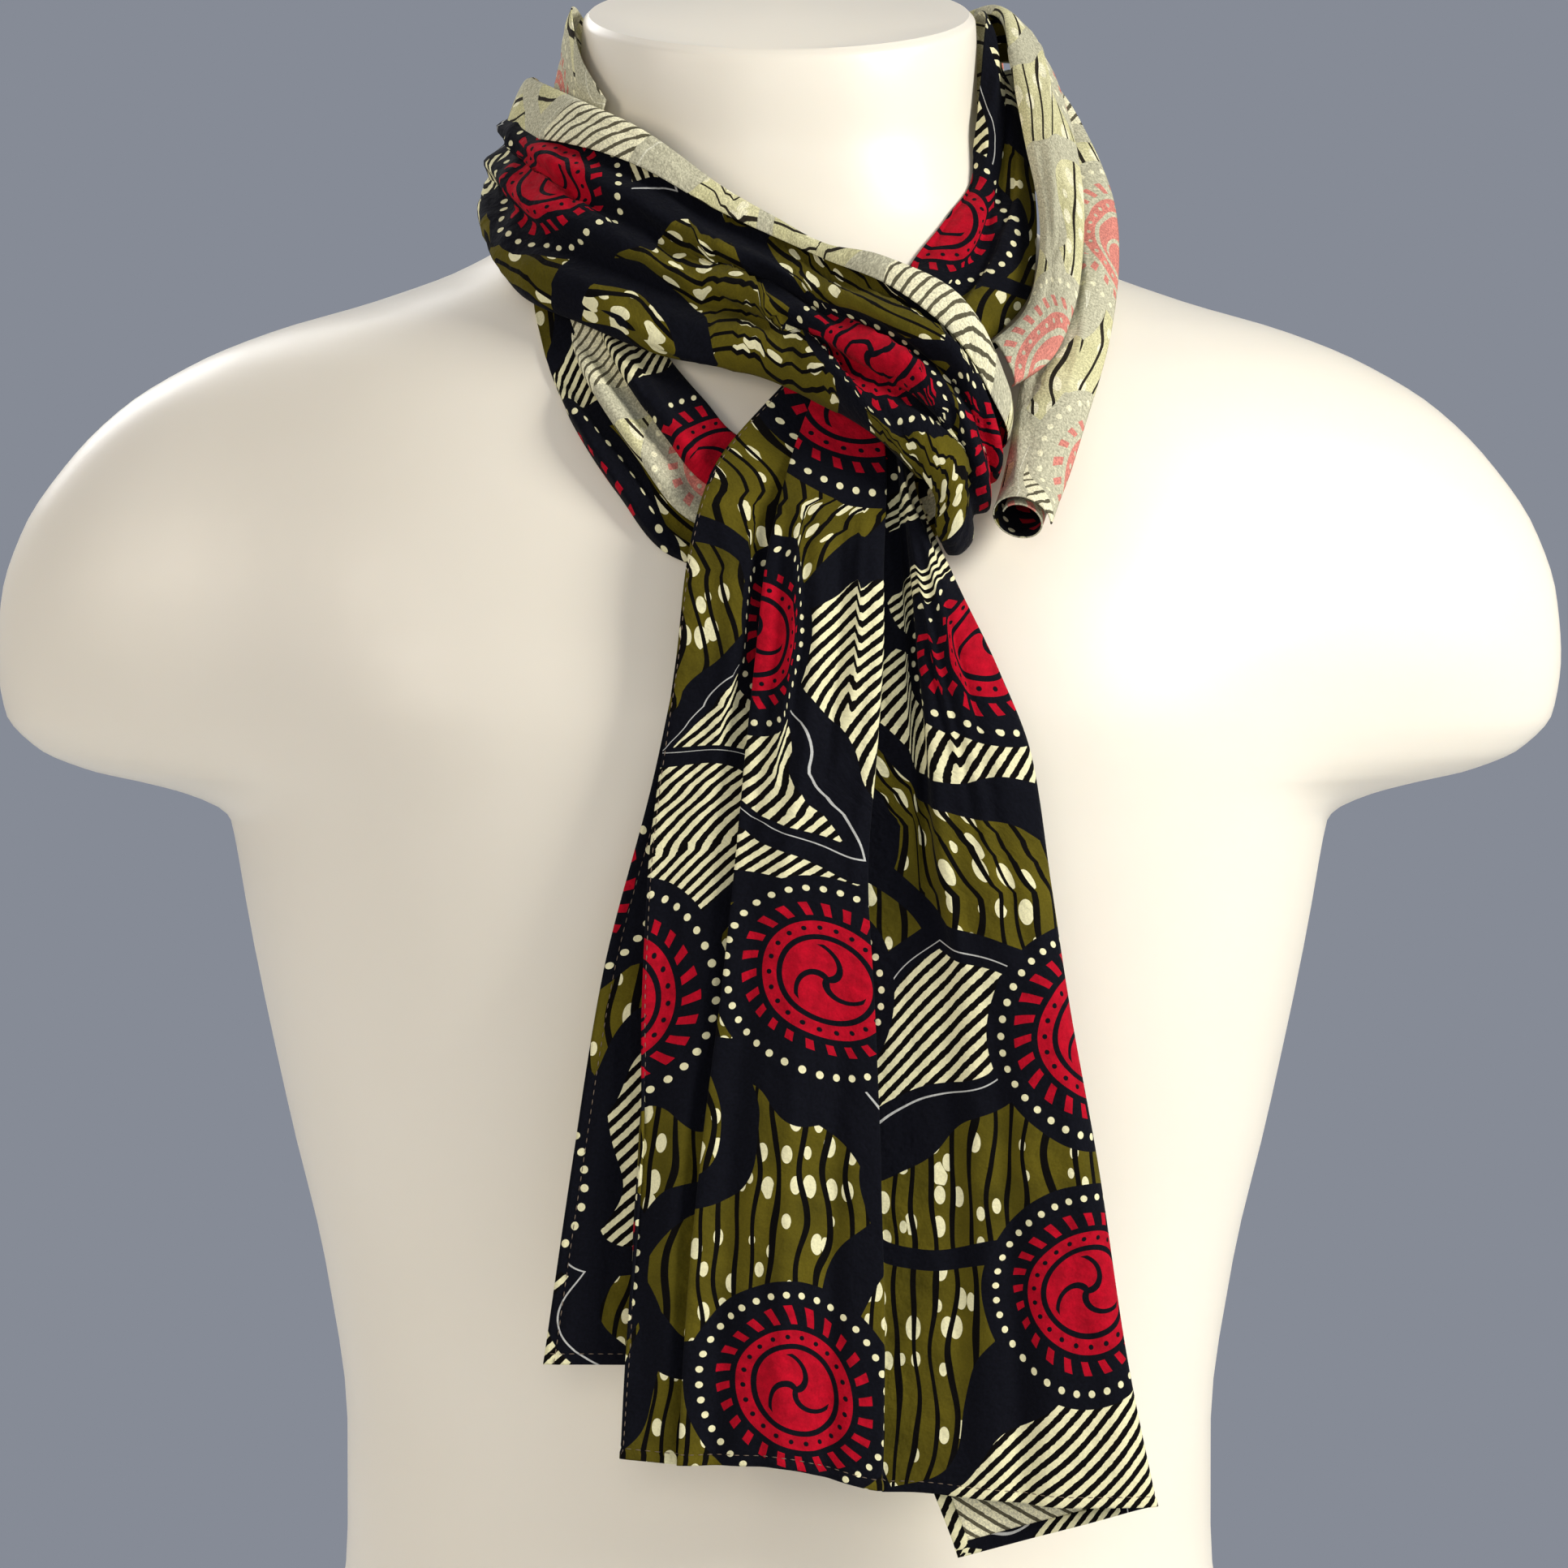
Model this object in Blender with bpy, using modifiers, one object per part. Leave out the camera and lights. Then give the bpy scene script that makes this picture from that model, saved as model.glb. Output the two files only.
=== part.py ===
"""A printed cotton scarf, folded in half and pulled through its own loop, on a smooth torso form.

The tables are in millimetres: X to the right, Y away from the front, Z up from the form's base.
"""

import bmesh
import bpy
import numpy as np

MM = 0.001

# Driving sizes
CLOTH_WALL = 1.2
SEAT_GAP = 0.5
CAP_SLANT = 0.22
CAP_SLANT_FROM = 610.0
CAP_SLANT_RISE = 45.0
FORM_SIDES = 40

# The form, ring by ring from the base to the cap. A ring is the chest's oval blended with the arm stumps'.
# Columns: z, half width, front, back, squareness, stump's half width, stump's half depth
FORM_RINGS = (
    (0, 150, 88, 88, 2.3, 100, 40),
    (6, 156, 93, 93, 2.3, 100, 40),
    (60, 157, 96, 98, 2.3, 100, 40),
    (120, 148, 96, 91, 2.3, 100, 40),
    (170, 141, 97, 84, 2.3, 100, 40),
    (204, 141, 97, 82, 2.3, 100, 40),
    (256, 148, 101, 85, 2.3, 100, 40),
    (308, 160, 109, 91, 2.3, 110, 45),
    (373, 173, 119, 99, 2.3, 125, 50),
    (402, 177, 122.4, 102.0, 2.3, 140, 54),
    (411, 178, 123.1, 102.9, 2.3, 180, 60),
    (415, 178.4, 123.4, 103.3, 2.3, 202, 63),
    (419, 178.9, 123.6, 103.6, 2.3, 223, 66),
    (426, 180, 123.8, 104.2, 2.3, 241, 69),
    (438, 182, 123.3, 105.2, 2.3, 252, 72),
    (456, 184, 120, 106.4, 2.3, 254.6, 74),
    (476, 186, 114, 107, 2.25, 252.8, 73),
    (498, 187, 106, 106, 2.2, 245, 69),
    (520, 184, 97, 103, 2.15, 229, 63),
    (538, 178, 89, 99, 2.1, 209, 57),
    (552, 168, 82, 94, 2.05, 183, 51),
    (563, 150, 76, 88, 2.0, 153, 46),
    (573, 126, 71, 81, 2.0, 110, 40),
    (582, 104, 66.5, 76, 2.0, 80, 35),
    (592, 87, 62, 70, 2.0, 60, 30),
    (603, 76, 58.5, 63, 2.0, 50, 28),
    (616, 68.5, 56.5, 58, 2.0, 45, 27),
    (632, 64.5, 55, 54.5, 2.0, 42, 26),
    (654, 64.5, 55.5, 54.5, 2.0, 42, 26),
    (663.5, 64, 55, 54, 2.0, 42, 26),
    (666, 62, 53, 52, 2.0, 40, 25),
)
STUMP_BLEND = 9.0

# Each strand's sections from its start to its end: its upper edge, its lower edge and its folds.
# lift is how far the middle stands out, hem is how far the upper edge is turned out over the strand.
# Columns: top_x, top_y, top_z, low_x, low_y, low_z, lift, hem

COLLAR_BACK = (
    (-71, 9, 653, -88, 10, 606, 2.0, 5),
    (-68, 24, 657, -87, 32, 601, 4.0, 8),
    (-54, 46, 658, -74, 66, 596, 5.0, 11),
    (-30, 61, 657, -44, 88, 590, 6.0, 14),
    (0, 68, 656, 0, 98, 586, 6.0, 14),
    (32, 68, 657, 44, 94, 590, 6.0, 12),
    (54, 57, 661, 76, 76, 598, 5.0, 9),
    (68, 40, 664, 96, 50, 606, 4.0, 7),
)

COLLAR_LEFT_INNER = (
    (-58, 32, 665, -60, 34, 640, 1.0, 0),
    (-66.5, 12, 669, -68, 12, 646, 1.0, 0),
    (-67.5, -6, 664, -73, -8, 634, 1.5, 0),
    (-64, -23, 651, -67, -28, 622, 1.5, 0),
    (-56, -37, 638, -58, -41, 616, 1.0, 0),
)

LOOP_UPPER = (
    (-77, 18, 645, -95, 18, 599, 4.0, 14),
    (-80, 2, 644, -96, 4, 597, 5.0, 18),
    (-77, -12, 642, -95.5, -18, 594, 6.0, 19),
    (-60, -39, 634, -85, -57, 576, 6.5, 14),
    (-42, -54, 625, -63, -77, 566, 6.0, 11),
    (-20, -65, 609, -36, -91, 556, 6.0, 8),
    (-1, -75, 598, -8, -102, 552, 6.0, 6.5),
    (15, -86, 590, 16, -113, 541, 6.0, 5),
    (34, -98, 586, 35, -125, 529, 7.0, 9),
    (57, -104, 574, 49, -131, 514, 7.0, 15),
    (70, -108, 547, 51, -132, 502, 6.0, 10),
    (70.5, -104.5, 534, 55, -124, 493, 4.0, 4),
    (67, -99, 528, 57.5, -113, 497, 2.5, 2),
)

LOOP_LOWER = (
    (-66, -36, 600, -80, -34, 590, 1.0, 0),
    (-57, -48, 590, -79, -49, 576, 1.8, 0),
    (-45, -62, 571, -73, -66, 551, 2.6, 0),
    (-36, -80, 556, -65, -88, 533, 2.8, 0),
    (-24, -90, 542, -51, -99, 512, 2.8, 0),
    (-12, -96, 530, -33, -108, 492, 1.6, 0),
    (12, -99, 524, 4, -110, 484, 0.7, 0),
    (36, -99, 524, 36, -109, 486, 0.6, 0),
    (53, -97, 524, 51, -107, 500, 0.5, 0),
)

COLLAR_RIGHT_INNER = (
    (36, 46, 662, 40, 50, 640, 1.0, 0),
    (58, 30, 664, 64, 34, 636, 1.0, 0),
    (67, 8, 667, 73, 8, 636, 1.5, 0),
    (66.5, -8, 654, 80, -10, 624, 2.0, 0),
    (62, -24, 615, 83, -30, 606, 2.5, 0),
    (54, -42, 600, 83, -46, 590, 3.0, 0),
    (44, -56, 587, 80, -64, 574, 3.0, 0),
    (34, -76, 572, 66, -84, 560, 2.0, 0),
    (28, -86, 560, 48, -94, 553, 1.5, 0),
)

COLLAR_RIGHT_ROLL = (
    (42, 52, 664, 48, 56, 648, 3.0, 0),
    (63, 34, 668, 72, 38, 650, 3.5, 0),
    (72.5, 12, 667, 86, 10, 646, 4.0, 0),
    (75, -9, 651, 94, -16, 628, 4.5, 0),
    (80, -27, 624, 98, -38, 608, 5.0, 0),
    (84, -43, 604, 98, -53, 592, 5.0, 0),
    (84, -58, 587, 95.5, -71, 573.5, 5.0, 0),
    (79, -77, 570, 88, -91, 556, 4.5, 0),
    (68, -91, 560, 75, -103, 547, 3.5, 0),
)

# The outermost strand is a rolled tube: its middle line and its two half sizes
# Columns: x, y, z, half width, half depth
COLLAR_RIGHT_OUTER = (
    (46, 66, 626, 15, 6.5),
    (68, 44, 632, 15, 7),
    (80, 18, 634, 14, 8),
    (90, -6, 620, 13, 8.5),
    (98, -26, 602, 11.5, 9),
    (99, -44, 583, 11, 9),
    (95, -66, 562, 11.5, 9),
    (88, -88, 541, 12, 9),
    (83, -105, 523, 11, 9),
    (79, -114, 511, 10.2, 9),
    (76.5, -124, 505, 10.2, 9),
)
TUBE_TURNS = 1.45
TUBE_LAYERS = 3.0

# The front tail: where each fold line stands across, from the knot (0) to the hem (1)
# Columns: along, left, pleat left, pleat right, valley, crest, right, back edge
TAIL_LINES = (
    (0.00, 6, 14, 32, 33, 36, 39, 30),
    (0.10, -22, 2, 35, 38, 40, 43, 30),
    (0.18, -29, -4, 33, 39, 51, 55, 36),
    (0.26, -32, -7, 32, 40, 57, 69, 40),
    (0.34, -36, -10, 31, 40, 64, 80, 44),
    (0.45, -41, -14, 29, 41, 70, 86, 46),
    (0.56, -43, -18, 31, 41, 76, 92, 44),
    (0.70, -45, -24, 33, 41, 83, 101, 40),
    (0.85, -48, -29, 34, 40, 90, 109, 40),
    (1.00, -50, -32, 33, 40, 94, 120, 57),
)
# Columns: along, y of the cloth's plane, height of the folds, tuck of the centre pleat
TAIL_DEPTHS = (
    (0.00, -96, 0.45, 3),
    (0.06, -107, 0.5, 5),
    (0.10, -115, 0.6, 8),
    (0.18, -124, 0.8, 10),
    (0.26, -130, 1.0, 11),
    (0.34, -134, 1.0, 11),
    (0.45, -136, 1.0, 10),
    (0.56, -136, 1.0, 8),
    (0.70, -136, 0.9, 4),
    (0.85, -135, 0.8, 1.5),
    (1.00, -134, 0.8, 0.5),
)
TAIL_TOP_Z = 552.0
TAIL_HEM_Z = {"left": 206.6, "pleat_left": 205, "pleat_right": 197, "valley": 196,
              "crest": 191.5, "right": 191.5, "back_edge": 174.6}

# Columns: along, then x of the left side, three waves and the right side
TAIL_BACK_LINES = (
    (0.00, 8, 12, 17, 22, 28),
    (0.12, -20, -9, 6, 18, 30),
    (0.25, -30, -16, 2, 18, 32),
    (0.40, -40, -24, -2, 18, 33),
    (0.60, -56, -34, -8, 14, 31),
    (0.80, -66, -42, -14, 10, 28),
    (1.00, -75, -48, -18, 6, 26),
)
TAIL_BACK_HEM_Z = 236.0
TAIL_BACK_BEHIND = 6.5

# Columns: colour, roughness, metallic
FINISHES = {
    "glossy_plastic": ((0.84, 0.79, 0.69), 0.28, 0.0),
    "cotton_face": ((0.045, 0.045, 0.06), 0.85, 0.0),
    "cotton_reverse": ((0.62, 0.61, 0.5), 0.9, 0.0),
}


def smooth(keys, rows, at):
    """The rows' values at the keys asked for, on a smooth curve that never overshoots a row."""
    keys = np.asarray(keys, float)
    rows = np.asarray(rows, float)
    at = np.clip(np.asarray(at, float), keys[0], keys[-1])
    step = np.diff(keys)[:, None]
    slope = np.diff(rows, axis=0) / step
    same_way = slope[1:] * slope[:-1] > 0
    both = np.where(same_way, slope[1:] + slope[:-1], 1.0)
    tangent = np.empty_like(rows)
    tangent[1:-1] = np.where(same_way, 2 * slope[1:] * slope[:-1] / both, 0.0)
    tangent[0] = slope[0]
    tangent[-1] = slope[-1]
    i = np.clip(np.searchsorted(keys, at, side="right") - 1, 0, len(keys) - 2)
    width = step[i]
    t = (at - keys[i])[:, None] / width
    return (
        rows[i] * (1 + 2 * t) * (1 - t) ** 2
        + tangent[i] * width * t * (1 - t) ** 2
        + rows[i + 1] * t * t * (3 - 2 * t)
        + tangent[i + 1] * width * t * t * (t - 1)
    )


def flowing(rows, at):
    """Catmull-Rom curve through evenly spaced rows, at shares from 0 to 1 of its length."""
    rows = np.asarray(rows, float)
    last = len(rows) - 1
    place = np.clip(np.asarray(at, float), 0, 1) * last
    i = np.minimum(place.astype(int), last - 1)
    t = (place - i)[:, None]
    before, start = rows[np.maximum(i - 1, 0)], rows[i]
    end, after = rows[i + 1], rows[np.minimum(i + 2, last)]
    return 0.5 * (
        2 * start
        + (end - before) * t
        + (2 * before - 5 * start + 4 * end - after) * t**2
        + (3 * start - before - 3 * end + after) * t**3
    )


def form_ring(z):
    """The form's sizes at these heights, in the columns of its table."""
    table = np.array(FORM_RINGS, float)
    return smooth(table[:, 0], table[:, 1:], z).T


def form_reach(points):
    """How far out each point lies as a share of the form's ring at its height: 1 is on the form."""
    width, front, back, square, stump_width, stump_depth = form_ring(points[:, 2])
    side, deep = np.abs(points[:, :2]).T
    chest = (side / width) ** square + (deep / np.where(points[:, 1] < 0, front, back)) ** square
    chest = (chest + 1e-9) ** (1 / square)
    stump = np.sqrt((side / stump_width) ** 2 + (deep / stump_depth) ** 2 + 1e-9)
    return (chest**-STUMP_BLEND + stump**-STUMP_BLEND) ** (-1 / STUMP_BLEND)


def off_the_form(points, gap):
    """Moves each point that lies nearer the form than the gap straight out to it."""
    points = points.copy()
    probe = 0.5
    for _ in range(6):
        reach = form_reach(points)
        uphill = np.stack(
            [form_reach(points + probe * axis) - reach for axis in np.eye(3)], axis=1
        ) / probe
        steep = np.linalg.norm(uphill, axis=1)
        short = np.maximum(gap - (reach - 1) / steep, 0)
        points += uphill / steep[:, None] * short[:, None]
    return points


def section(guides, per_fold):
    """Points along a smooth line through the guides, as many from each guide to the next."""
    guides = np.asarray(guides, float)
    run = np.r_[0, np.cumsum(np.linalg.norm(np.diff(guides, axis=0), axis=1))]
    steps = np.arange((len(guides) - 1) * per_fold + 1) / per_fold
    return smooth(run, guides, np.interp(steps, np.arange(len(guides)), run))


def strand(rows, folds, along, per_fold):
    """A grid of points: each section runs from the strand's upper edge to its lower edge.

    folds gives a section's guides as (distance down from the upper edge, distance out)
    from the edge's width, lift and hem.
    """
    stations = flowing(rows, np.linspace(0, 1, along))
    top, low = stations[:, :3], stations[:, 3:6]
    middle = (top + low) / 2
    onward = np.gradient(middle, axis=0)
    grid = []
    for i, (lift, hem) in enumerate(stations[:, 6:8]):
        chord = low[i] - top[i]
        width = np.linalg.norm(chord)
        down = chord / width
        out = np.cross(onward[i], down)
        out /= np.linalg.norm(out)
        if out @ (middle[i] * (1, 1, 0)) < 0:
            out = -out
        place = section(folds(width, lift, hem), per_fold)
        grid.append(top[i] + place[:, :1] * down + place[:, 1:] * out)
    return np.array(grid)


def turned_out_folds(width, lift, hem):
    """A strand whose upper edge is turned out and down, with three soft pleats below it."""
    hem = max(hem, 2.0)
    stand = 3.0 + 2.4 * min(hem / 10, 1)
    return (
        (hem, stand * 0.9),
        (hem * 0.5, stand),
        (1.0, stand * 0.85),
        (-1.2, stand * 0.5),
        (0.8, 0.2),
        (width * 0.20, lift * 0.35),
        (width * 0.34, lift * 1.05),
        (width * 0.43, lift * 0.5),
        (width * 0.58, lift * 1.2),
        (width * 0.67, lift * 0.45),
        (width * 0.84, lift * 0.95),
        (width * 0.97, lift * 0.35),
        (width * 0.99, -1.4),
        (width * 0.90, -2.6),
    )


def stepped_folds(width, lift, hem):
    """A strand laid in three stepped pleats, each lapping over the one below it."""
    deep = lift * 1.6
    return (
        (0.0, 0.0),
        (width * 0.20, deep * 0.8),
        (width * 0.38, deep * 1.9),
        (width * 0.42, deep * 1.2),
        (width * 0.36, deep * 0.2),
        (width * 0.50, deep * 0.5),
        (width * 0.68, deep * 1.9),
        (width * 0.72, deep * 1.2),
        (width * 0.66, deep * 0.2),
        (width * 0.80, deep * 0.6),
        (width * 0.96, deep * 1.0),
        (width * 1.00, 0.2),
    )


def rolled_folds(width, lift, hem):
    """A soft roll: the cloth stands out in one round wave and turns in at both edges."""
    return (
        (width * 0.10, -1.5),
        (0.0, 0.5),
        (width * 0.15, lift * 0.8),
        (width * 0.45, lift),
        (width * 0.80, lift * 0.9),
        (width * 1.00, lift * 0.3),
        (width * 0.94, -1.8),
    )


def waved_folds(width, lift, hem):
    """A strand with two shallow waves."""
    return (
        (0.0, 0.0),
        (width * 0.20, lift * 0.9),
        (width * 0.45, lift * 0.3),
        (width * 0.70, lift * 1.1),
        (width * 1.00, 0.0),
    )


def rolled_tube(rows, along, across):
    """A spiral roll round its middle line, its free edge inside and open at both ends."""
    stations = flowing(rows, np.linspace(0, 1, along))
    centre = stations[:, :3]
    onward = np.gradient(centre, axis=0)
    onward /= np.linalg.norm(onward, axis=1)[:, None]
    turn = np.linspace(0, TUBE_TURNS * 2 * np.pi, across)
    inward = np.linspace(TUBE_TURNS, 0, across) / TUBE_LAYERS
    grid = []
    for i, (wide, deep) in enumerate(stations[:, 3:5]):
        sideways = np.cross(onward[i], (0, -1, 0))
        sideways /= np.linalg.norm(sideways)
        out = np.cross(sideways, onward[i])
        grid.append(
            centre[i]
            + np.outer((wide - deep * inward) * np.cos(turn), sideways)
            + np.outer(deep * (1 - inward) * np.sin(turn), out)
        )
    return np.array(grid)


def tail(lines, tops, hems, depths, folds, along, per_fold):
    """A hanging end: fold lines run down it, and folds gives a section's guides at each height."""
    share = np.linspace(0, 1, along)
    x = smooth(lines[:, 0], lines[:, 1:], share)
    plane, height, tuck = smooth(depths[:, 0], depths[:, 1:], share).T
    grid = []
    for i, down in enumerate(share):
        z = tops + (hems - tops) * down
        guides = folds(x[i], z, height[i], tuck[i])
        place = section(guides, per_fold)
        grid.append(np.stack([place[:, 0], plane[i] - place[:, 2], place[:, 1]], axis=1))
    return np.array(grid)


def front_tail_folds(x, z, height, tuck):
    """Guides (x, z, out): left panel, centre pleat, deep valley, right crest and the folded-back side."""
    left, pleat_left, pleat_right, valley, crest, right, back_edge = x
    z_left, z_pleat, z_right_pleat, z_valley, z_crest, z_right, z_back = z
    half_left = (left + pleat_left) / 2
    return (
        (left + 1.5, z_left, -1.0),
        (left, z_left, 1.0),
        (half_left, (z_left + z_pleat) / 2, 3.5 * height),
        (pleat_left + 0.2 * tuck, z_pleat, 3.0 * height),
        (pleat_left + tuck, z_pleat, 3.6 * height),
        (pleat_left + 0.5 * tuck, z_pleat, 6.2 * height),
        (pleat_left, z_pleat, 8.4 * height),
        (pleat_left * 0.6 + pleat_right * 0.4, z_pleat, 11.0 * height),
        (pleat_right - 1.0, z_right_pleat, 9.0 * height),
        (pleat_right - 0.4 * tuck, z_right_pleat, 5.6 * height),
        (pleat_right - 0.8 * tuck, z_right_pleat, 2.6 * height),
        (pleat_right, z_valley, 0.4 * height),
        (valley, z_valley, 0.6 * height),
        ((valley + crest) / 2, (z_valley + z_crest) / 2, 7.0 * height),
        (crest, z_crest, 10.0 * height),
        (right - 2.0, z_right, 6.0 * height),
        (right, z_right, 3.0 * height),
        (right - 2.5, z_right - 0.5, 0.2 * height),
        ((right * 2 + back_edge) / 3, (z_right * 2 + z_back) / 3, -1.0),
        ((right + back_edge * 2) / 3, (z_right + z_back * 2) / 3, -2.6),
        (back_edge, z_back, -2.4),
    )


def back_tail_folds(x, z, height, tuck):
    """Guides (x, z, out): a plain end with two shallow waves."""
    return tuple(
        (across, down, wave * height) for across, down, wave in zip(x, z, (0.0, 1.8, -0.6, 1.4, 0.0))
    )


def add_grid(name, grid, finish, least_gap):
    """One cloth stretch: a flat grid moved onto its points, then given its wall."""
    along, across = grid.shape[:2]
    points = off_the_form(grid.reshape(-1, 3), least_gap).reshape(grid.shape)
    sheet = bmesh.new()
    bmesh.ops.create_grid(sheet, x_segments=across - 1, y_segments=along - 1, size=0.5)
    for vert in sheet.verts:
        column = round((vert.co.x + 0.5) * (across - 1))
        row = round((vert.co.y + 0.5) * (along - 1))
        vert.co = points[row, column] * MM
    bmesh.ops.triangulate(sheet, faces=sheet.faces)
    obj = add_object(name, sheet, finish)
    wall = obj.modifiers.new("wall", "SOLIDIFY")
    wall.thickness = CLOTH_WALL * MM
    wall.offset = 0
    wall.use_even_offset = False
    return obj


def add_object(name, shape, finish):
    mesh = bpy.data.meshes.new(name)
    shape.to_mesh(mesh)
    shape.free()
    mesh.materials.append(material(finish))
    obj = bpy.data.objects.new(name, mesh)
    bpy.data.collections["scarf_on_torso_form"].objects.link(obj)
    return obj


def material(finish):
    found = bpy.data.materials.get(finish)
    if found:
        return found
    colour, roughness, metallic = FINISHES[finish]
    made = bpy.data.materials.new(finish)
    made.use_nodes = True
    shader = made.node_tree.nodes["Principled BSDF"]
    shader.inputs["Base Color"].default_value = (*colour, 1)
    shader.inputs["Roughness"].default_value = roughness
    shader.inputs["Metallic"].default_value = metallic
    return made


def torso_form():
    """A closed drum with a loop of edges for each ring, moved onto the rings."""
    rings = np.array(FORM_RINGS, float)[:, 0]
    drum = bmesh.new()
    bmesh.ops.create_cone(drum, cap_ends=True, segments=FORM_SIDES, radius1=1, radius2=1, depth=1)
    uprights = [e for e in drum.edges if abs(e.verts[0].co.z - e.verts[1].co.z) > 0.5]
    bmesh.ops.subdivide_edges(drum, edges=uprights, cuts=len(rings) - 2, use_grid_fill=True)
    for vert in drum.verts:
        z = rings[round((vert.co.z + 0.5) * (len(rings) - 1))]
        width, front, back, square, stump_width, stump_depth = form_ring([z])[:, 0]
        deep = front if vert.co.y < 0 else back
        place = np.array([[vert.co.x * max(width, stump_width), vert.co.y * deep, z]])
        x, y = (place / form_reach(place))[0, :2]
        slant = CAP_SLANT * min(max((z - CAP_SLANT_FROM) / CAP_SLANT_RISE, 0), 1)
        vert.co = (x * MM, y * MM, (z + y * slant) * MM)
    bmesh.ops.triangulate(drum, faces=[f for f in drum.faces if len(f.verts) == 4])
    return add_object("torso_form", drum, "glossy_plastic")


def build():
    for old in list(bpy.data.objects):
        bpy.data.objects.remove(old)
    collection = bpy.data.collections.new("scarf_on_torso_form")
    bpy.context.scene.collection.children.link(collection)
    on_form = CLOTH_WALL / 2 + SEAT_GAP
    torso_form()
    add_grid("collar_back", strand(COLLAR_BACK, turned_out_folds, 19, 1), "cotton_reverse", on_form)
    add_grid("collar_left_inner", strand(COLLAR_LEFT_INNER, waved_folds, 9, 1), "cotton_reverse", on_form)
    add_grid("loop_upper", strand(LOOP_UPPER, turned_out_folds, 31, 1), "cotton_face", on_form)
    add_grid("loop_lower", strand(LOOP_LOWER, stepped_folds, 23, 1), "cotton_face", on_form)
    add_grid("collar_right_inner", strand(COLLAR_RIGHT_INNER, waved_folds, 18, 2), "cotton_face", on_form)
    add_grid("collar_right_roll", strand(COLLAR_RIGHT_ROLL, rolled_folds, 20, 1), "cotton_reverse", on_form)
    add_grid("collar_right_outer", rolled_tube(COLLAR_RIGHT_OUTER, 20, 17), "cotton_reverse", on_form)
    hems = np.array(list(TAIL_HEM_Z.values()), float)
    depths = np.array(TAIL_DEPTHS, float)
    front = tail(np.array(TAIL_LINES, float), TAIL_TOP_Z, hems, depths, front_tail_folds, 24, 1)
    add_grid("tail_front", front, "cotton_face", on_form)
    depths[:, 1] += TAIL_BACK_BEHIND
    back = tail(
        np.array(TAIL_BACK_LINES, float), TAIL_TOP_Z - 6, np.full(5, TAIL_BACK_HEM_Z), depths,
        back_tail_folds, 14, 2,
    )
    add_grid("tail_back", back, "cotton_face", on_form)


build()
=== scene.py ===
"""The looks of a printed cotton scarf, folded in half and pulled through its own loop, on a torso form.

The tables are in millimetres: X to the right, Y away from the front, Z up from the form's base.
"""

import math

import bmesh
import bpy
import numpy as np
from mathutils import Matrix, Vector


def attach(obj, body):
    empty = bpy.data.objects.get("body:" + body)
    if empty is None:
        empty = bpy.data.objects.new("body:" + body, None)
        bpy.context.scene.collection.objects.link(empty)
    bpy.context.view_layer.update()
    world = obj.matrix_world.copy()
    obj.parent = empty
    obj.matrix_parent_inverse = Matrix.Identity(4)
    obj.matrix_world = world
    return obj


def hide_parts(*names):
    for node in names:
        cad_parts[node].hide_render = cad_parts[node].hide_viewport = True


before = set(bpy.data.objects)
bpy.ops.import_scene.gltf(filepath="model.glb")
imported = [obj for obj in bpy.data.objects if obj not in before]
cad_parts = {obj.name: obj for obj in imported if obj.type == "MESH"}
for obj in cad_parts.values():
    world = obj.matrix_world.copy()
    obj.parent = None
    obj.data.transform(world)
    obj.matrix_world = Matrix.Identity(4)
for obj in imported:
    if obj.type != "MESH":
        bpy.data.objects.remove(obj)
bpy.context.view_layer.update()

MM = 0.001

# The cloth, its hems and its stitches
CLOTH_SHELL = 0.5
SEAT_GAP = 0.85
HEM_TURNING = 4.6
HEM_RELIEF = 0.3
HEM_GROOVE = 0.45
HEM_GROOVE_HALF = 0.8
TURNING_SHELL = 0.28
STITCH_INSET = 3.5
STITCH_LENGTH = 2.1
STITCH_PITCH = 3.1
THREAD = 0.32
THREAD_SEAT = 0.06
# Print that a fold edge hides, for each mm of its height
HIDDEN_PRINT = 3.2

# A tucked end: how far it is pulled, how that fades out, and how often it is smoothed each way
TUCK_REACH = 55.0
TUCK_FADE = 10.0
SMOOTHED_ACROSS = 6
SMOOTHED_ALONG = 14
# Its gap to the cloth under it, at these shares across
TUCK_SHARES = (0.15, 0.38, 0.86, 0.93)
TUCK_GAPS = (3.8, 2.4, 2.4, 1.2)

# Points from one guide of a section to the next
PER_FOLD = 6

# Where the tails' sections lie, from the knot (0) to the hem (1): closer together in the hem
TAIL_SHARES = np.r_[np.linspace(0, 0.972, 150), np.linspace(0.975, 1, 13)]

# The form's slanting cap, the heights that the collar lies between, and its mesh
CAP_SLANT = 0.22
CAP_SLANT_FROM = 610.0
CAP_SLANT_RISE = 45.0
NECK_HEIGHTS = (540, 664)
FORM_SIDES = 128
FORM_LEVELS = 120

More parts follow.
